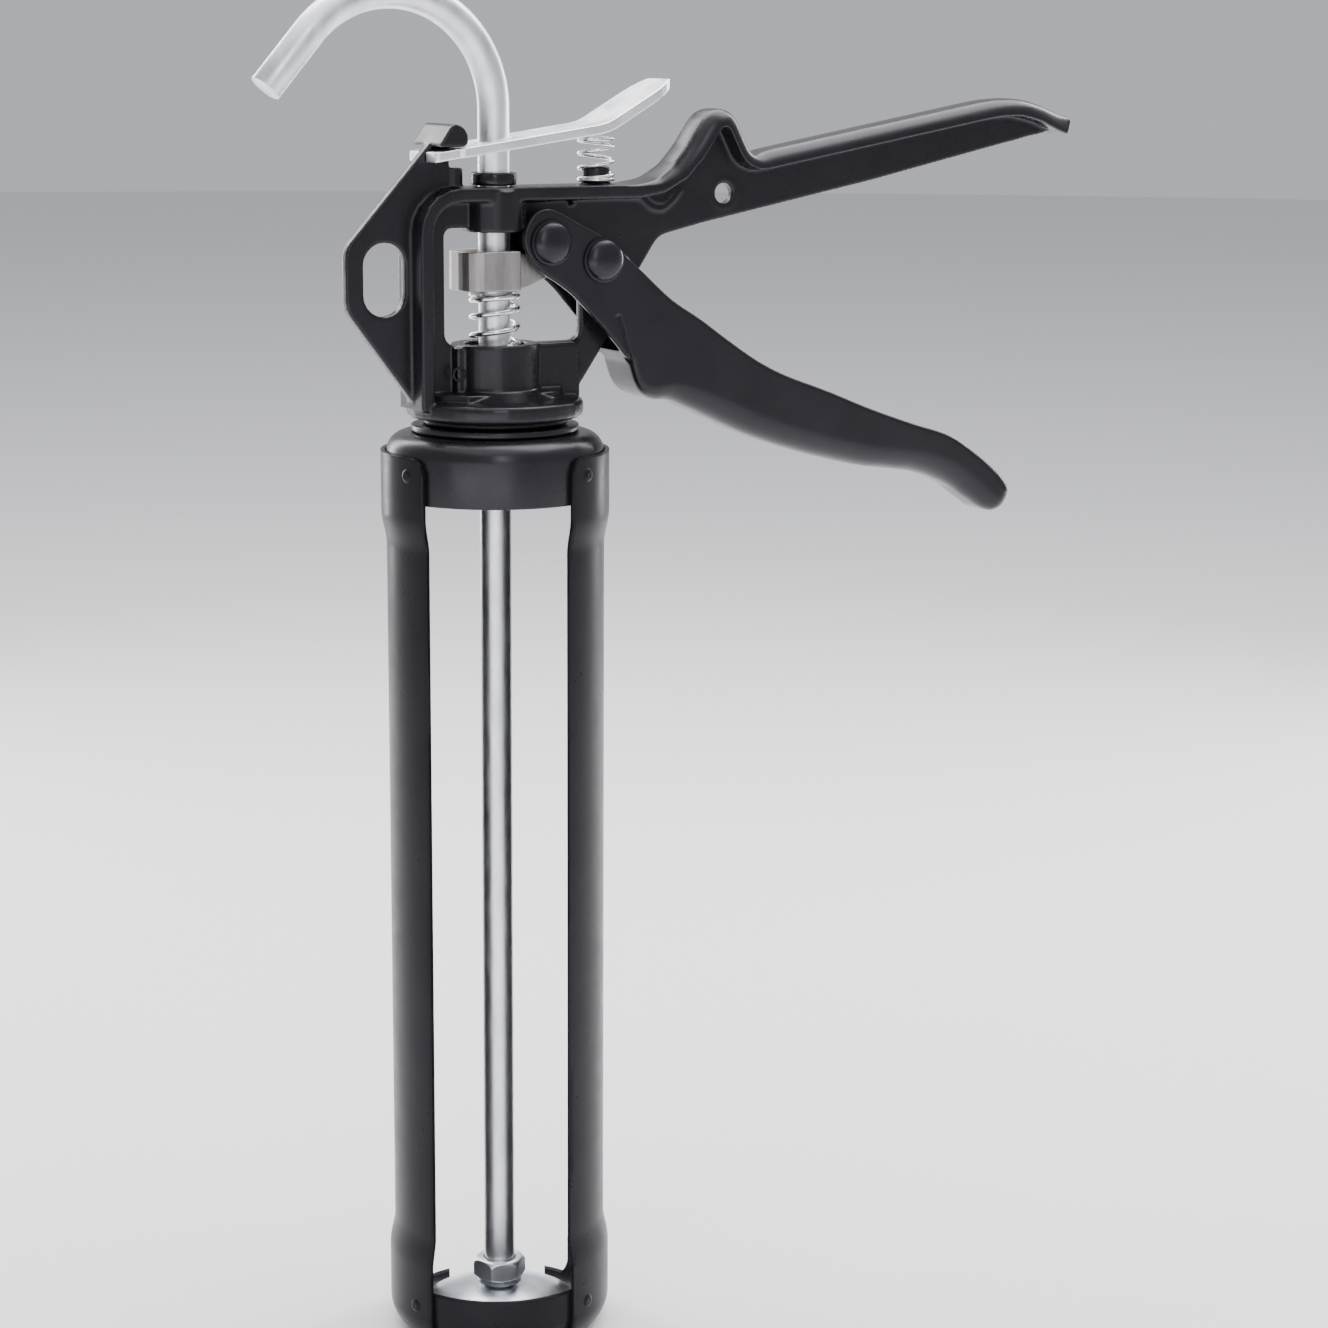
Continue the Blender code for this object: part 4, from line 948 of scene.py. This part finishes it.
def nut(name, node_name):
    """A hexagon nut with a turned chamfer on both faces."""
    low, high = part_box(node_name)
    bottom, top = low.z, high.z
    flat = 0.0061
    bore_radius = 0.0043
    corner = flat * 2 / math.sqrt(3)
    turns = [math.radians(44.5) + math.pi * side / 3 for side in range(6)]
    mesh = flat_plate([(corner * math.cos(t), corner * math.sin(t)) for t in turns], bottom, top)
    profile = [
        (0, top + 0.0002),
        (flat - 0.0011, top + 0.0002),
        *arc((flat - 0.0011, top - 0.0020), 0.0020, 80, 35, 6),
        (corner + 0.0003, top - 0.0017),
        (corner + 0.0003, bottom + 0.0009),
        (flat - 0.0004, bottom - 0.0002),
        (0, bottom - 0.0002),
    ]
    mesh = cut(mesh, turned(profile, 144), "INTERSECT")
    above, below = top + 0.001, bottom - 0.001
    bore = [(0, above), (bore_radius, above), (bore_radius, below), (0, below)]
    mesh = cut(mesh, turned(bore, 64))
    mesh = cast(mesh, 0.00014, 3)
    made = add_object(mesh, name, ZINC)
    made.data.shade_smooth()
    fix(made, "plunger", "zinc_plate", node_name)


def disc():
    """The domed disc that pushes the cartridge's piston."""
    hole = ROD_RADIUS + GAP
    outer = 0.0205
    centre_top = 0.0098
    dome = 0.0054
    wall = 0.0012
    edge = wall / 2
    steps = 24
    radii = [hole + (outer - 0.0005 - hole) * k / steps for k in range(steps + 1)]
    upper = [(r, centre_top - dome * (r / outer) ** 2) for r in radii]
    low = upper[-1][1] - edge
    rim = arc((outer - edge, low), edge, 60, -60, 6)
    lower = [(r, z - wall) for r, z in reversed(upper)]
    made = add_object(turned(upper + rim + lower, 160), "plunger_dome", DISC_ZINC)
    smooth(made, 50)
    fix(made, "plunger", "zinc_plate", "plunger_disc")


# ---------------------------------------------------------------- build the looks

# Hidden pieces that keep their CAD shape
KEPT_PAINT = {
    "thrust_washer": ZINC,
    "retaining_ring": SPRING_STEEL,
    "pivot_bush": ZINC,
    "spring_washer": ZINC,
}
for kept_name, kept_paint in KEPT_PAINT.items():
    kept = NODES[kept_name]
    kept.data.materials.clear()
    kept.data.materials.append(kept_paint)

casting()
guide_ring()
collar()
cap()
strap("right_strap", STRAP_ANGLES[0], "right_rail")
strap("left_strap", STRAP_ANGLES[1], "left_rail")
rivets("collar_rivet", COLLAR_TOP - RIVET_DROP)
rivets("nose_rivet", NOSE_RIVET_HEIGHT)
trigger()
pin("pivot_rivet", PIVOT, "trigger_pivot_pin")
pin("drive_rivet", DRIVE_PIN, "drive_pin")
drive_plate()
springs()
lever()
rod()
nut("plunger_nut_fine", "plunger_nut")
nut("lower_nut_fine", "lower_nut")
disc()


# ---------------------------------------------------------------- studio

FLOOR_RADIUS = 6.0
FLOOR_DROP = 0.0004
YAW = math.radians(30)
PITCH = math.radians(11.5)
ROLL = math.radians(0.315)
LEVEL_AHEAD = Vector((math.sin(YAW), math.cos(YAW), 0))
FORWARD = LEVEL_AHEAD * math.cos(PITCH) - Vector((0, 0, math.sin(PITCH)))
RIGHT = Vector((math.cos(YAW), -math.sin(YAW), 0))
UP = RIGHT.cross(FORWARD)
SENSOR_WIDTH = 36  # mm
FOCAL_LENGTH = 84.036145  # mm
AIM_HEIGHT = 0.178
AIM_RIGHT = 0.043
DISTANCE = 0.795
STRIP_SIZE = (0.18, 0.9)


def stage():
    """A wide, plain pale floor, a hair under the object so that they don't touch."""
    bm = bmesh.new()
    bmesh.ops.create_circle(bm, cap_ends=True, segments=96, radius=FLOOR_RADIUS)
    mesh = bpy.data.meshes.new("floor")
    bm.to_mesh(mesh)
    bm.free()
    pale = new_material("pale_floor", (0.80, 0.80, 0.81), 0.75, 0.0)
    cloud = noise(pale, 3, 3)
    set_input(pale, "Roughness", spread(pale, cloud, 0.70, 0.80))
    floor = add_object(mesh, "floor", pale)
    floor.location = (0, 0, -FLOOR_DROP)


def light(name, place, target, size, power):
    """A rectangular area light that faces its target."""
    data = bpy.data.lights.new(name, "AREA")
    data.shape = "RECTANGLE"
    data.size = size[0]
    data.size_y = size[1]
    data.energy = power
    made = bpy.data.objects.new(name, data)
    bpy.context.scene.collection.objects.link(made)
    made.location = place
    made.rotation_euler = (Vector(target) - Vector(place)).to_track_quat("-Z", "Y").to_euler()


def from_camera(right, forward, height):
    """A place in the row's frame, right and forward as the camera faces, at a height."""
    return RIGHT * right + LEVEL_AHEAD * forward + Vector((0, 0, height))


def studio():
    centre = (0.03, 0, 0.19)
    light("left_strip", from_camera(-0.56, 0.60, 0.50), (0, 0, 0.30), STRIP_SIZE, 5.5)
    light("right_strip", from_camera(0.60, 0.62, 0.50), (0.03, 0, 0.30), STRIP_SIZE, 5.5)
    light("top_box", from_camera(0.10, 0.30, 1.00), centre, (1.2, 0.8), 17)
    light("overhead", (0, 0, 2.4), (0, 0.01, 0), (3.4, 3.4), 60)
    light("front_fill", from_camera(0.25, -1.30, 0.80), centre, (0.30, 0.9), 4)
    light("low_front", from_camera(-0.15, -0.75, 0.10), (0, 0, 0.05), (0.9, 0.16), 1.2)
    world = bpy.data.worlds.new("studio")
    world.use_nodes = True
    sky = world.node_tree.nodes["Background"]
    sky.inputs["Color"].default_value = (0.92, 0.94, 1.0, 1)
    sky.inputs["Strength"].default_value = 0.56
    bpy.context.scene.world = world


def camera():
    data = bpy.data.cameras.new("camera")
    data.sensor_width = SENSOR_WIDTH
    data.lens = FOCAL_LENGTH
    made = bpy.data.objects.new("camera", data)
    bpy.context.scene.collection.objects.link(made)
    turn = Matrix((RIGHT, UP, -FORWARD)).transposed().to_4x4()
    place = Vector((0, 0, AIM_HEIGHT)) + RIGHT * AIM_RIGHT - FORWARD * DISTANCE
    made.matrix_world = Matrix.Translation(place) @ turn @ Matrix.Rotation(ROLL, 4, "Z")
    bpy.context.scene.camera = made


stage()
studio()
camera()
